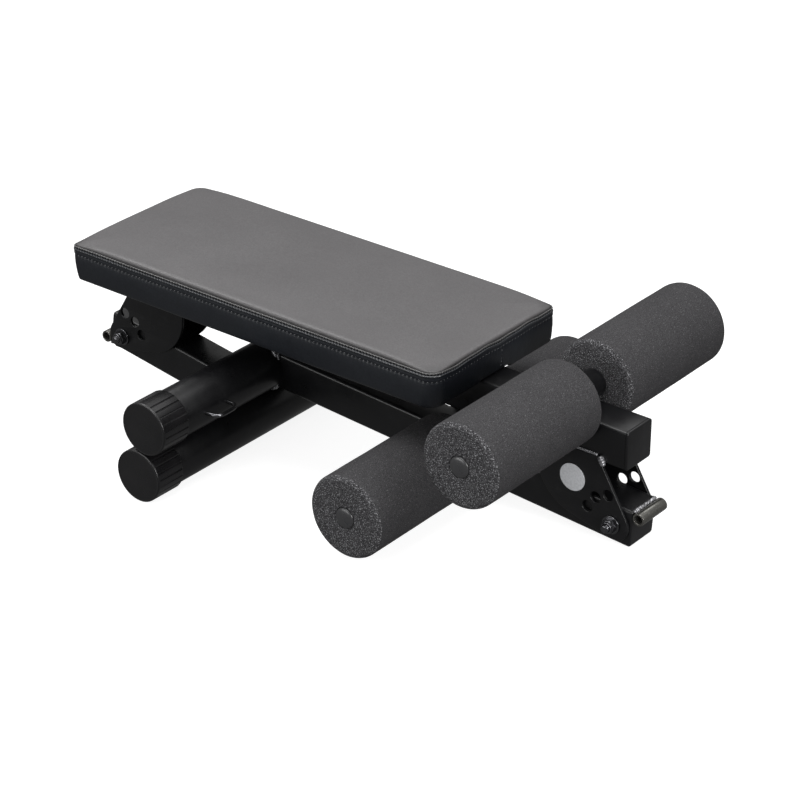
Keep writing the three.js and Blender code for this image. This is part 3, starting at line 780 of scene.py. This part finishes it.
def coped_leg(length, outward):
    """A closed square tube from its heel to the round cross tube, in the leg's own frame."""
    round_rim = 3.2
    shape = box_section(LEG, TUBE_CORNER, 0)
    cope = [(-outward * (length - sqrt((CROSS_R + GAP) ** 2 - w * w)), u, w) for _, u, w in shape]
    shoulder = [(outward * (HEEL - round_rim - 40), u, w) for _, u, w in shape]
    heel = rim(LEG, TUBE_CORNER, outward * HEEL, round_rim, -outward, 5)[::-1]
    return loft([cope, shoulder] + heel, cap_last=True), cope


def cap_profile_radius(r, y, angle):
    """Grooves along the skirt, fading out before the rim."""
    if r < CAP_R - 1.5:
        return r
    step = 2 * pi / CAP_GROOVES
    off = abs((angle + step / 2) % step - step / 2) / RAD
    depth = 1.0 * max(0.0, 1 - (off / 1.9) ** 2)
    return r - depth


def end_cap():
    outer = CROSS_HALF + GAP + CAP_FACE
    skirt = CROSS_HALF - CAP_SKIRT + GAP
    profile = rounded([(CROSS_R + GAP, outer - CAP_FACE - 1), (CROSS_R + GAP, skirt), (CAP_R - 1.6, skirt),
                       (CAP_R, skirt + 1.8)], [0, 0.3, 0.3, 0], 2)
    profile += [(CAP_R, skirt + 3), (CAP_R, outer - 4.5), (CAP_R, outer - 3.2)]
    profile += [(CAP_R - 2.0 + 2.0 * cos(a), outer - 2.0 + 2.0 * sin(a))
                for a in (pi / 2 * k / 5 for k in range(1, 6))]
    profile += [(CAP_R - 3.4, outer - 0.5), (CAP_R - 5, outer - 0.55), (20, outer - 0.35),
                (0.01, outer - 0.2)]

    def change(r, y, angle):
        return cap_profile_radius(r, y, angle) if skirt + 1.0 < y < outer - 4.0 else r

    return lathe(profile, CAP_GROOVES * 14, change=change)


def build_leg(name, body, matrix, length, outward, sleeve_side):
    leg, cope = coped_leg(length, outward)
    make(f"{name}_leg_body", leg, matrix, body, PAINT, [f"{name}_leg_tube", f"{name}_heel_plate"])
    bush = ring(BOLT_HOLE_R, 9.5, -LEG / 2 - 0.05, LEG / 2 + 0.05, (0.3, 0.7))
    make(f"{name}_bush", bush, matrix, body, ZINC, [f"{name}_pivot_bush"])

    for strand, off, stand in (("inner", 1.8, 1.0), ("outer", 5.2, 0.6)):
        grow = 1 + off / (LEG / 2)
        line = [(-outward * (length - sqrt(max((CROSS_R + stand) ** 2 - (z * grow) ** 2, 9.0))),
                 y * grow, z * grow) for _, y, z in cope]
        weld_bead(f"{name}_cross_weld_{strand}", line, 2.4, matrix, body, closed=True, lumps=0.4)
    at_cross = shift(matrix, -outward * length, 0, 0)
    cross = ring(CROSS_R - 2.5, CROSS_R, -CROSS_HALF, CROSS_HALF, (0.3, 0.3), 2, 96)
    make(f"{name}_cross_bar", cross, at_cross, body, PAINT, [f"{name}_cross_tube"])
    for side_name, side in SIDES:
        make(f"{name}_foot_cap_{side_name}", mirrored(end_cap(), side), at_cross, body, CAP,
             [f"{name}_end_cap_{side_name}"], 28)

    sx = outward * LOCK_R * cos(SLEEVE_ANGLE)
    sz = sleeve_side * LOCK_R * sin(SLEEVE_ANGLE)
    sleeve = ring(SLEEVE_BORE_R, SLEEVE_R, -LEG / 2, LEG / 2, (0.6, 0.9))
    make(f"{name}_lock_tube", sleeve, shift(matrix, sx, 0, sz), body, GLOSS, [f"{name}_lock_sleeve"])
    outer = [(outward * (HEEL + 0.6), y, sleeve_side * (LEG / 2 - 0.4) + 0.9 * sin(y * 0.9))
             for y in range(-27, 28, 1)]
    weld_bead(f"{name}_lock_weld_outer", outer, 2.7, matrix, body, lumps=0.5)
    inner = [(outward * (HEEL + 1.4), y, sz - sleeve_side * 6.4) for y in range(-26, 27, 2)]
    weld_bead(f"{name}_lock_weld_inner", inner, 2.0, matrix, body)


def eyelet_path():
    """Half of the bent rod from its foot, then the same mirrored."""
    start, reach, bend = CROSS_R - 1.0, CROSS_R + 22, 15.0
    a, b, c = (Vector(p) for p in ((reach - bend, -EYELET_HALF, 0), (reach, -EYELET_HALF, 0),
                                   (reach, -EYELET_HALF + bend, 0)))
    points = [Vector((start, -EYELET_HALF, 0)), a]
    points += [a * (1 - t) ** 2 + b * 2 * t * (1 - t) + c * t * t for t in (k / 8 for k in range(1, 9))]
    return resample(points + [Vector((p.x, -p.y, 0)) for p in reversed(points)], 1.6, False)


def build_eyelets():
    lift = Matrix.Rotation(EYELET_LIFT, 4, "Y")
    for side_name, side in SIDES:
        name = f"band_eyelet_{side_name}"
        rod = sweep(eyelet_path(), lambda i, k: EYELET_R, sides=14)
        place = shift(FRONT, -FRONT_LENGTH, side * EYELET_Y, 0) @ lift
        make(f"{name}_rod", rod, place, "front_leg", ZINC, [name], 0)


def build_collars():
    place = shift(FRONT, -LOWER_AXLE_AT, 0, 0)
    for side_name, side in SIDES:
        y0, y1 = side * (LEG / 2 + GAP), side * (FOAM_INNER - GAP)
        collar = ring(AXLE_R + GAP, COLLAR_R, y0, y1, (0.3, 0.8), 3, 56)
        make(f"lower_spacer_{side_name}", collar, place, "front_leg", HUB, [f"lower_collar_{side_name}"])


# ---- pad


def around_pad():
    return 2 * (PAD_L - PAD_HEAD + PAD_W) - (2 - pi / 2) * sum(PAD_CORNERS)


def pad_outline(inset, spacing=0.9):
    """Points round the pad, anticlockwise from above. Every inset gives the same number of points."""
    x0, x1 = PAD_HEAD + inset, PAD_L - inset
    y = PAD_W / 2 - inset
    arcs = []
    for (cx, cy, start), radius in zip(((x1, -y, -90), (x1, y, 0), (x0, y, 90), (x0, -y, 180)), PAD_CORNERS):
        r = max(radius - inset, 1.5)
        cx += r if cx == x0 else -r
        cy += r if cy < 0 else -r
        steps = max(3, round(radius * pi / 2 / spacing))
        angles = [(start + 90 * k / steps) * RAD for k in range(steps + 1)]
        arcs.append([(cx + r * cos(a), cy + r * sin(a)) for a in angles])
    points = []
    for i, arc in enumerate(arcs):
        a, b = arc[-1], arcs[(i + 1) % 4][0]
        count = round(((PAD_W if i in (0, 2) else PAD_L) - CORNER_SHARE) / spacing)
        points += arc
        points += [(a[0] + (b[0] - a[0]) * k / count, a[1] + (b[1] - a[1]) * k / count)
                   for k in range(1, count)]
    return points


def seam_wander(x, y):
    """How far the seam dips: it is pulled about along the roller end, and hardly elsewhere."""
    at_end = max(0.0, (x - PAD_L + 40) / 40) ** 2
    wave = sin(y / 17.0 + 0.6) + 0.5 * sin(y / 7.9 + 1.2)
    return at_end * 1.0 * wave + 0.35 * noise.noise(Vector((x / 60, y / 60, 3.0)))


def panel_height(x, y):
    """The top panel's height: a steep shoulder above the seam, lower at the corners, then a slow crown."""
    edge = edge_distance(x, y)
    dx, dy = min(x - PAD_HEAD, PAD_L - x), PAD_W / 2 - abs(y)
    corner = exp(-(max(dx, 0) ** 2 + max(dy, 0) ** 2) / 46 ** 2)
    side = 1 - exp(-max(dx, 0) / 30)
    shoulder = (6.7 + 1.4 * side) * (1 - 0.62 * corner) * (1 - exp(-max(edge - 1.7, 0) / 1.8))
    return 0.6 + shoulder + 1.8 * (1 - exp(-max(edge - 4.0, 0) / 30))


def cushion_start():
    """The stuffing before it swells: a little smaller than the border that goes round it."""
    levels = [(26.0, PAD_BOTTOM + 3.5), (12.0, PAD_BOTTOM + 3.5), (9.5, PAD_BOTTOM + 6), (8.6, -34),
              (5.2, -18), (4.6, -6.0), (4.6, -1.8), (3.4, 0.6), (2.6, 3.2), (3.2, 5.8), (6.0, 7.6),
              (16.0, 8.6)]
    loops = [[(x, y, z) for x, y in pad_outline(inset, 6.0)] for inset, z in levels]
    return loft(loops, cap_first=True, cap_last=True)


def edge_distance(x, y):
    """Distance in from the pad's rounded outline."""
    middle = (PAD_HEAD + PAD_L) / 2
    if x > middle:
        radius = PAD_CORNERS[0] if y < 0 else PAD_CORNERS[1]
    else:
        radius = PAD_CORNERS[3] if y < 0 else PAD_CORNERS[2]
    dx = abs(x - middle) - (PAD_L - PAD_HEAD) / 2 + radius
    dy = abs(y) - PAD_W / 2 + radius
    if dx > 0 and dy > 0:
        return radius - hypot(dx, dy)
    return radius - max(dx, dy)


CLOTH = dict(quality=4, mass=0.25, tension_stiffness=18, compression_stiffness=18, shear_stiffness=8,
             bending_stiffness=0.6, use_pressure=True, uniform_pressure_force=4.0,
             vertex_group_mass="held", pin_stiffness=12)
CLOTH_FRAMES = 20


def swell(piece):
    """Blows the panels out by cloth simulation, held along the seam and under the board."""
    scene = bpy.context.scene
    rest = [v.co.copy() for v in piece.data.vertices]
    held = piece.vertex_groups.new(name="held")
    for v in piece.data.vertices:
        x, y, z = v.co / MM
        near_seam = max(0.0, 1 - max(abs(z + 2) - 4.0, edge_distance(x, y) - 6.0, 0.0) / 6.0)
        under = 1.0 if z < PAD_BOTTOM + 9 else 0.0
        weight = max(near_seam, under)
        if weight > 0.02:
            held.add([v.index], weight, "REPLACE")
    cloth = piece.modifiers.new("cloth", "CLOTH")
    for key, value in CLOTH.items():
        setattr(cloth.settings, key, value)
    cloth.settings.effector_weights.gravity = 0
    cloth.collision_settings.use_self_collision = False
    cloth.point_cache.frame_start = 1
    cloth.point_cache.frame_end = CLOTH_FRAMES
    for f in range(1, CLOTH_FRAMES + 1):
        scene.frame_set(f)
    posed = piece.evaluated_get(bpy.context.evaluated_depsgraph_get())
    after = [v.co.copy() for v in posed.data.vertices]
    piece.modifiers.remove(cloth)
    piece.vertex_groups.clear()
    scene.frame_set(1)
    for v, a, b in zip(piece.data.vertices, rest, after):
        step = b - a
        cap = 0.0065 if v.co.z > -0.002 else 0.0015
        if step.length > cap:
            step = step.normalized() * cap
        v.co = a + step


def settle(piece):
    """The pull of the seam on the swollen panel, its shoulder, and the slack left in the leatherette."""
    for v in piece.data.vertices:
        x, y, z = v.co / MM
        if z < 1.6:
            continue
        edge = edge_distance(x, y)
        want = panel_height(x, y)
        hold = 0.35 + 0.65 * exp(-max(edge - 4, 0) / 22)
        loose = 0.55 * noise.noise(Vector((x / 95, y / 95, 0.5)))
        loose += 0.18 * noise.noise(Vector((x / 31, y / 24, 4.5)))
        loose *= 1 - exp(-max(edge - 5, 0) / 14)
        v.co.z = (z + (want - z) * hold + loose - seam_wander(x, y) * exp(-max(edge, 0) / 9)) * MM


def build_cushion():
    bm = cushion_start()
    bmesh.ops.scale(bm, vec=(MM, MM, MM), verts=bm.verts)
    mesh = mesh_of("pad", bm)
    piece = linked("pad", mesh)
    remesh = piece.modifiers.new("voxels", "REMESH")
    remesh.mode = "VOXEL"
    remesh.voxel_size = 0.0048
    graph = bpy.context.evaluated_depsgraph_get()
    even = bpy.data.meshes.new_from_object(piece.evaluated_get(graph))
    piece.modifiers.clear()
    piece.data = even
    bpy.data.meshes.remove(mesh)
    swell(piece)
    settle(piece)
    subdivide = piece.modifiers.new("fine", "SUBSURF")
    subdivide.levels = subdivide.render_levels = 1
    graph = bpy.context.evaluated_depsgraph_get()
    fine = bpy.data.meshes.new_from_object(piece.evaluated_get(graph))
    piece.modifiers.clear()
    piece.data = fine
    bpy.data.meshes.remove(even)
    fine.materials.clear()
    fine.materials.append(PAD_TOP_SHEEN_SKIN)
    fine.polygons.foreach_set("use_smooth", [True] * len(fine.polygons))
    piece.matrix_world = BENCH
    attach(piece, "frame")
    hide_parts("pad_cushion")


BOARD_IN, STAPLE_STEP = 18.0, 17
STITCH = 5.4          # pitch of the seam between the panels
TOPSTITCH = 7.0       # pitch of the pale row below it
TOPSTITCH_Z = -11.6
# the border's section from under the top panel to the fold below: inset, height, and how much
# the seam's stitches draw that point in
BORDER = [
    (9.0, -1.6, 0), (6.4, -0.6, 0), (4.6, 0.7, 0.1), (3.5, 1.55, 0.2), (2.5, 1.8, 0.3),
    (1.6, 1.45, 0.5), (1.25, 0.6, 0.8), (1.6, -0.4, 1.0), (2.6, -1.0, 1.2), (3.2, -1.4, 1.2),
    (2.6, -1.8, 1.1), (1.2, -2.2, 0.6), (0.45, -2.9, 0.3), (0.2, -3.7, 0.1), (0.5, -4.6, 0),
    (1.0, -5.4, 0), (0.6, -7.0, 0), (0.3, -8.8, 0), (0.5, -10.2, 0), (1.15, -11.2, 0), (1.25, -11.9, 0),
    (0.8, -13.0, 0), (0.35, -15.0, 0), (0.0, -19.0, 0), (-0.4, -25.0, 0), (-0.2, -31.0, 0),
    (0.1, -37.0, 0), (0.5, -42.0, 0), (0.9, -45.2, 0), (1.5, -47.6, 0), (2.4, -49.4, 0),
    (3.8, -50.6, 0), (5.4, -50.9, 0), (9.5, -50.9, 0), (18.0, -50.7, 0), (25.0, -50.2, 0),
    (26.4, -49.6, 0), (26.8, -48.6, 0), (26.4, -47.0, 0),
]


def slack(x, y, z):
    """How far the border's leatherette stands out between the seam and the fold."""
    if not -48 < z < -4:
        return 0.0
    broad = noise.noise(Vector((x / 60, y / 60, z / 26)))
    return 0.55 * broad + 0.2 * noise.noise(Vector((x / 17, y / 17, z / 9)))


def end_lean(x, z):
    """The short ends lean in towards the board below, the head end more than the roller end."""
    down = min(1.0, max(0.0, -z - 4) / 44)
    return down * (6.0 * max(0.0, 1 - (x - PAD_HEAD) / 60) - 2.2 * max(0.0, 1 - (PAD_L - x) / 60))


def hang(x, y, z):
    """How far the fold hangs below the board, clear of the beam, and more by the rollers' far corner."""
    beside_beam = min(1.0, max(0.0, (abs(y) - 31) / 9))
    far_corner = 1.6 * max(0.0, 1 - (PAD_L - x) / 30) * (y > 0)
    return (2.4 + far_corner) * beside_beam * min(1.0, max(0.0, -z / 50)) ** 2


def seam_pull(z):
    """How much of the seam's wandering reaches down to z."""
    return exp(-max(-z - 3, 0) / 12)


def build_border():
    """One skin for the rolled seam, the border and the fold under the board."""
    stitches, tops = round(around_pad() / STITCH), round(around_pad() / TOPSTITCH)
    rim_line = pad_outline(0)
    count = len(rim_line)
    outlines = {}
    loops = []
    for inset, z, draw in BORDER:
        loop = []
        for i, (x, y) in enumerate(rim_line):
            pull = 0.5 + 0.5 * cos(2 * pi * stitches * i / count)
            depth = inset + draw * (1.1 * pull - 0.35)
            near_row = exp(-((z - TOPSTITCH_Z) / 1.3) ** 2)
            depth -= 0.4 * near_row * cos(2 * pi * tops * i / count)
            tenths = round(10 * (depth - slack(x, y, z)))
            if tenths not in outlines:
                outlines[tenths] = pad_outline(tenths / 10)
            x, y = outlines[tenths][i]
            loop.append((x + end_lean(x, z), y, z - seam_wander(x, y) * seam_pull(z) - hang(x, y, z)))
        loops.append(loop)
    bm = loft(loops)
    for face in bm.faces:
        x, y, z = face.calc_center_median()
        z += seam_wander(x, y)
        # the seam's crease takes painted shade (3), the two rolls painted highlights (0 and 1)
        face.material_index = 0 if z > -0.7 else 3 if z > -2.0 else 1 if z > -4.9 else 2
    skins = [ROLL_HIGHLIGHT_SKIN, PAD_ROLL_LOW_HIGHLIGHT, PAD_SIDE_SKIN, PAD_VALLEY_SHADE]
    piece = make("pad_border", bm, BENCH, "frame", skins, sharp=0)


def thread_path(inset, z):
    """Two points to each interval of the outline, so that threads keep step with the border's puckers."""
    points = []
    for x, y in pad_outline(inset):
        dx, dy = x - (PAD_HEAD + PAD_L) / 2, y
        out = Vector((dx, 0, 0)) if abs(dx) - PAD_L / 2 > abs(dy) - PAD_W / 2 else Vector((0, dy, 0))
        push = out.normalized() * slack(x, y, z)
        points.append(Vector((x + end_lean(x, z), y, z - seam_wander(x, y) * seam_pull(z))) + push)
    return [a.lerp(b, k / 2) for a, b in zip(points, points[1:] + points[:1]) for k in range(2)]


def build_stitches():
    """Stitches in the seam's valley, a pale row below it, and a short closing seam."""
    rows = (("valley", 2.55, -1.4, STITCH, 3.0, 0.58, DARK_THREAD),
            ("topstitch", 1.35, TOPSTITCH_Z, TOPSTITCH, 3.6, 0.46, PALE_THREAD))
    for row_name, inset, z, step, length, radius, material in rows:
        path, deeper = thread_path(inset, z), thread_path(inset + 1.3, z)
        row = stitch_row(path, deeper, round(around_pad() / step), length, radius)
        make(f"pad_{row_name}_thread", row, BENCH, "frame", material, sharp=0)
    down = [Vector((PAD_L - 0.15 + end_lean(PAD_L, z), 11.7, z)) for z in (-15 - 0.35 * k for k in range(85))]
    row = stitch_row(down, [p + Vector((-1.2, 0, 0)) for p in down], 5, 3.2, 0.5, closed=False)
    make("pad_closing_thread", row, BENCH, "frame", PALE_THREAD, sharp=0)
    fold = sweep([p + Vector((-0.35, 2.0, 0)) for p in down], lambda i, k: 0.8, sides=8)
    make("pad_closing_fold", fold, BENCH, "frame", PAD_SIDE_SKIN, sharp=0)


def build_board():
    """The board's underside inside the stapled fold."""
    x0, x1, y = BOARD_IN, PAD_L - BOARD_IN, PAD_W / 2 - BOARD_IN
    shape = rounded([(x1, -y), (x1, y), (x0, y), (x0, -y)], [4.0] * 4, 6, closed=True)
    faces = [[(x, y, z) for x, y in shape] for z in (PAD_BOTTOM, PAD_BOTTOM + 8)]
    panel = loft(faces, cap_first=True, cap_last=True)
    make("pad_board_panel", panel, BENCH, "frame", BOARD, ["pad_board"], smooth=False)
    path = resample([(x, y, -50.6) for x, y in pad_outline(20)], 2.0, True)
    staples = bmesh.new()
    for i in range(0, len(path), STAPLE_STEP):
        a, b = path[i], path[(i + 5) % len(path)]
        legs = [a + Vector((0, 0, 1.5)), a.copy(), a.lerp(b, 0.5), b.copy(), b + Vector((0, 0, 1.5))]
        joined(staples, sweep(legs, lambda k, side: 0.45, sides=6, up=Vector((0.3, 0.2, 1))))
    make("pad_staples", staples, BENCH, "frame", ZINC, sharp=0)


def stitch_row(path, deeper, stitches, length, radius, closed=True):
    """Separate short stitches along a finely sampled path, their ends sunk towards a deeper one."""
    count = len(path)
    total = sum((b - a).length for a, b in zip(path, path[1:]))
    half = length / 2 / (total / count)
    rng = random.Random(11)
    whole = bmesh.new()
    for s in range(stitches):
        middle = (s + 0.5) * count / stitches + rng.uniform(-0.3, 0.3)
        stations = []
        for k, sink in zip(range(-2, 3), (0.9, 0.25, 0.0, 0.25, 0.9)):
            place = round(middle + half * k / 2)
            place = place % count if closed else min(max(place, 0), count - 1)
            stations.append(path[place].lerp(deeper[place], sink))
        jitter = 1 + 0.12 * (rng.random() - 0.5)
        joined(whole, sweep(stations, lambda i, k: radius * jitter * (0.6, 0.95, 1.0, 0.95, 0.6)[i], sides=6))
    return whole


def build_under_pad():
    for name in ("pad_bar_1", "pad_bar_2"):
        frame["nodes"][name].data.materials.clear()
        frame["nodes"][name].data.materials.append(PAINT)
    for index in range(1, 5):
        low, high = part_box(f"pad_bolt_{index}")
        centre = BENCH.inverted() @ ((low + high) / 2) / MM
        head = hex_body(PAD_BOLT_HEX, 0, PAD_BOLT_HEAD)
        tip = -PAD_BOLT_LENGTH
        shank = lathe([(0.01, 0), (PAD_BOLT_R, 0), (PAD_BOLT_R, tip), (0.01, tip)], 28)
        bolt = moved(joined(head, shank), Matrix.Rotation(-pi / 2, 4, "X"))
        place = at(round(centre.x), round(centre.y), BEAM_TOP)
        make(f"pad_bolt_{index}_hex", bolt, place, "frame", ZINC, [f"pad_bolt_{index}"])


# ---- studio


# the world's strength from straight below (0) to straight above (1)
SKY = ((0.0, 0.17), (0.46, 0.17), (0.54, 0.30), (0.74, 0.34), (0.86, 0.80), (1.0, 0.95))
FLOOR_GLOW = 0.88
SOFTBOXES = (     # name, place and size in metres, watts
    ("overhead", (0.3, -0.35, 2.9), (2.0, 1.4), 40),
    ("behind", (0.0, 2.4, 2.5), (1.7, 0.8), 7),
    ("left_high", (-1.9, 0.4, 2.8), (1.2, 1.2), 24),
    ("right", (3.0, -0.9, 0.95), (1.4, 1.3), 56),
    ("front", (-0.9, -3.0, 1.2), (2.6, 1.0), 34),
)


def build_studio():
    scene = bpy.context.scene
    low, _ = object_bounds()
    bm = bmesh.new()
    bmesh.ops.create_grid(bm, x_segments=8, y_segments=8, size=14)
    mesh = mesh_of("floor", bm)
    floor = linked("floor", mesh)
    floor.location = (0, 0, low[2] - 0.0005)
    floor.visible_glossy = False
    floor.visible_diffuse = False
    n = Nodes("floor_paper")
    fleck = n.noise(2.0, 3.0)
    colour = n.mix(fleck, (0.34, 0.34, 0.34), (0.37, 0.37, 0.37))
    n.finish(colour, n.span(fleck, 0.0, 1.0, 0.9, 1.0), n.bump(fleck, 0.01, 0.001), specular=0.0)
    n.shader.inputs["Emission Color"].default_value = (1, 1, 1, 1)
    n.shader.inputs["Emission Strength"].default_value = FLOOR_GLOW
    mesh.materials.append(n.material)

    world = bpy.data.worlds.new("studio")
    scene.world = world
    world.use_nodes = True
    tree = world.node_tree
    background = tree.nodes["Background"]
    coords = tree.nodes.new("ShaderNodeTexCoord")
    split = tree.nodes.new("ShaderNodeSeparateXYZ")
    ramp = tree.nodes.new("ShaderNodeValToRGB")
    for _ in SKY[2:]:
        ramp.color_ramp.elements.new(0.5)
    for element, (place, level) in zip(ramp.color_ramp.elements, SKY):
        element.position = place
        element.color = (level, level, level, 1)
    height = tree.nodes.new("ShaderNodeMapRange")
    height.inputs["From Min"].default_value = -1.0
    tree.links.new(coords.outputs["Generated"], split.inputs["Vector"])
    tree.links.new(split.outputs["Z"], height.inputs["Value"])
    tree.links.new(height.outputs["Result"], ramp.inputs["Fac"])
    tree.links.new(ramp.outputs["Color"], background.inputs["Strength"])
    background.inputs["Color"].default_value = (1, 1, 1, 1)

    for name, where, size, power in SOFTBOXES:
        lamp = bpy.data.lights.new(name, "AREA")
        lamp.shape = "RECTANGLE"
        lamp.size, lamp.size_y = size
        lamp.energy = power
        holder = linked(name, lamp)
        holder.location = where
        aim = Vector((0, 0, 0.15)) - Vector(where)
        holder.rotation_euler = aim.to_track_quat("-Z", "Y").to_euler()
    scene.view_settings.view_transform = "Standard"
    scene.view_settings.look = "None"
    scene.view_settings.exposure = 0.0


AZIMUTH, ELEVATION, ROLL = 38.25 * RAD, 27.94 * RAD, 0.22 * RAD
CAMERA_AT = Vector((2710.5, -2780.2, 1727.2))
SENSOR, LENS = 36, 122.78


def build_camera():
    """The camera stands in the bench's own frame, 3.5 m away."""
    azimuth, elevation, roll = AZIMUTH, ELEVATION, ROLL
    back = Vector((sin(azimuth) * cos(elevation), -cos(azimuth) * cos(elevation),
                   sin(elevation)))
    right = Vector((cos(azimuth), sin(azimuth), 0))
    up = back.cross(right)
    right, up = (right * cos(roll) + up * sin(roll)), (up * cos(roll) - right * sin(roll))
    turn = Matrix((right, up, back)).transposed().to_4x4()
    data = bpy.data.cameras.new("camera")
    data.sensor_width = SENSOR
    data.lens = LENS
    data.clip_end = 60
    camera = linked("camera", data)
    camera.matrix_world = at(*CAMERA_AT) @ turn
    bpy.context.scene.camera = camera


# ---- assembly

build_camera()
build_studio()
build_beam()
build_bracket("front", FRONT_X, 1)
build_bracket("rear", REAR_X, -1)
build_pivot("front", FRONT_X)
build_pivot("rear", REAR_X)
build_badge()
build_saddle()
build_rollers("upper", at(UPPER_X, 0, UPPER_Z), "frame")
build_rollers("lower", shift(FRONT, -LOWER_AXLE_AT, 0, 0), "front_leg")
build_collars()
build_leg("front", "front_leg", FRONT, FRONT_LENGTH, 1, 1)
build_leg("rear", "rear_leg", REAR, REAR_LENGTH, -1, -1)
build_eyelets()
build_cushion()
build_border()
build_stitches()
build_board()
build_under_pad()
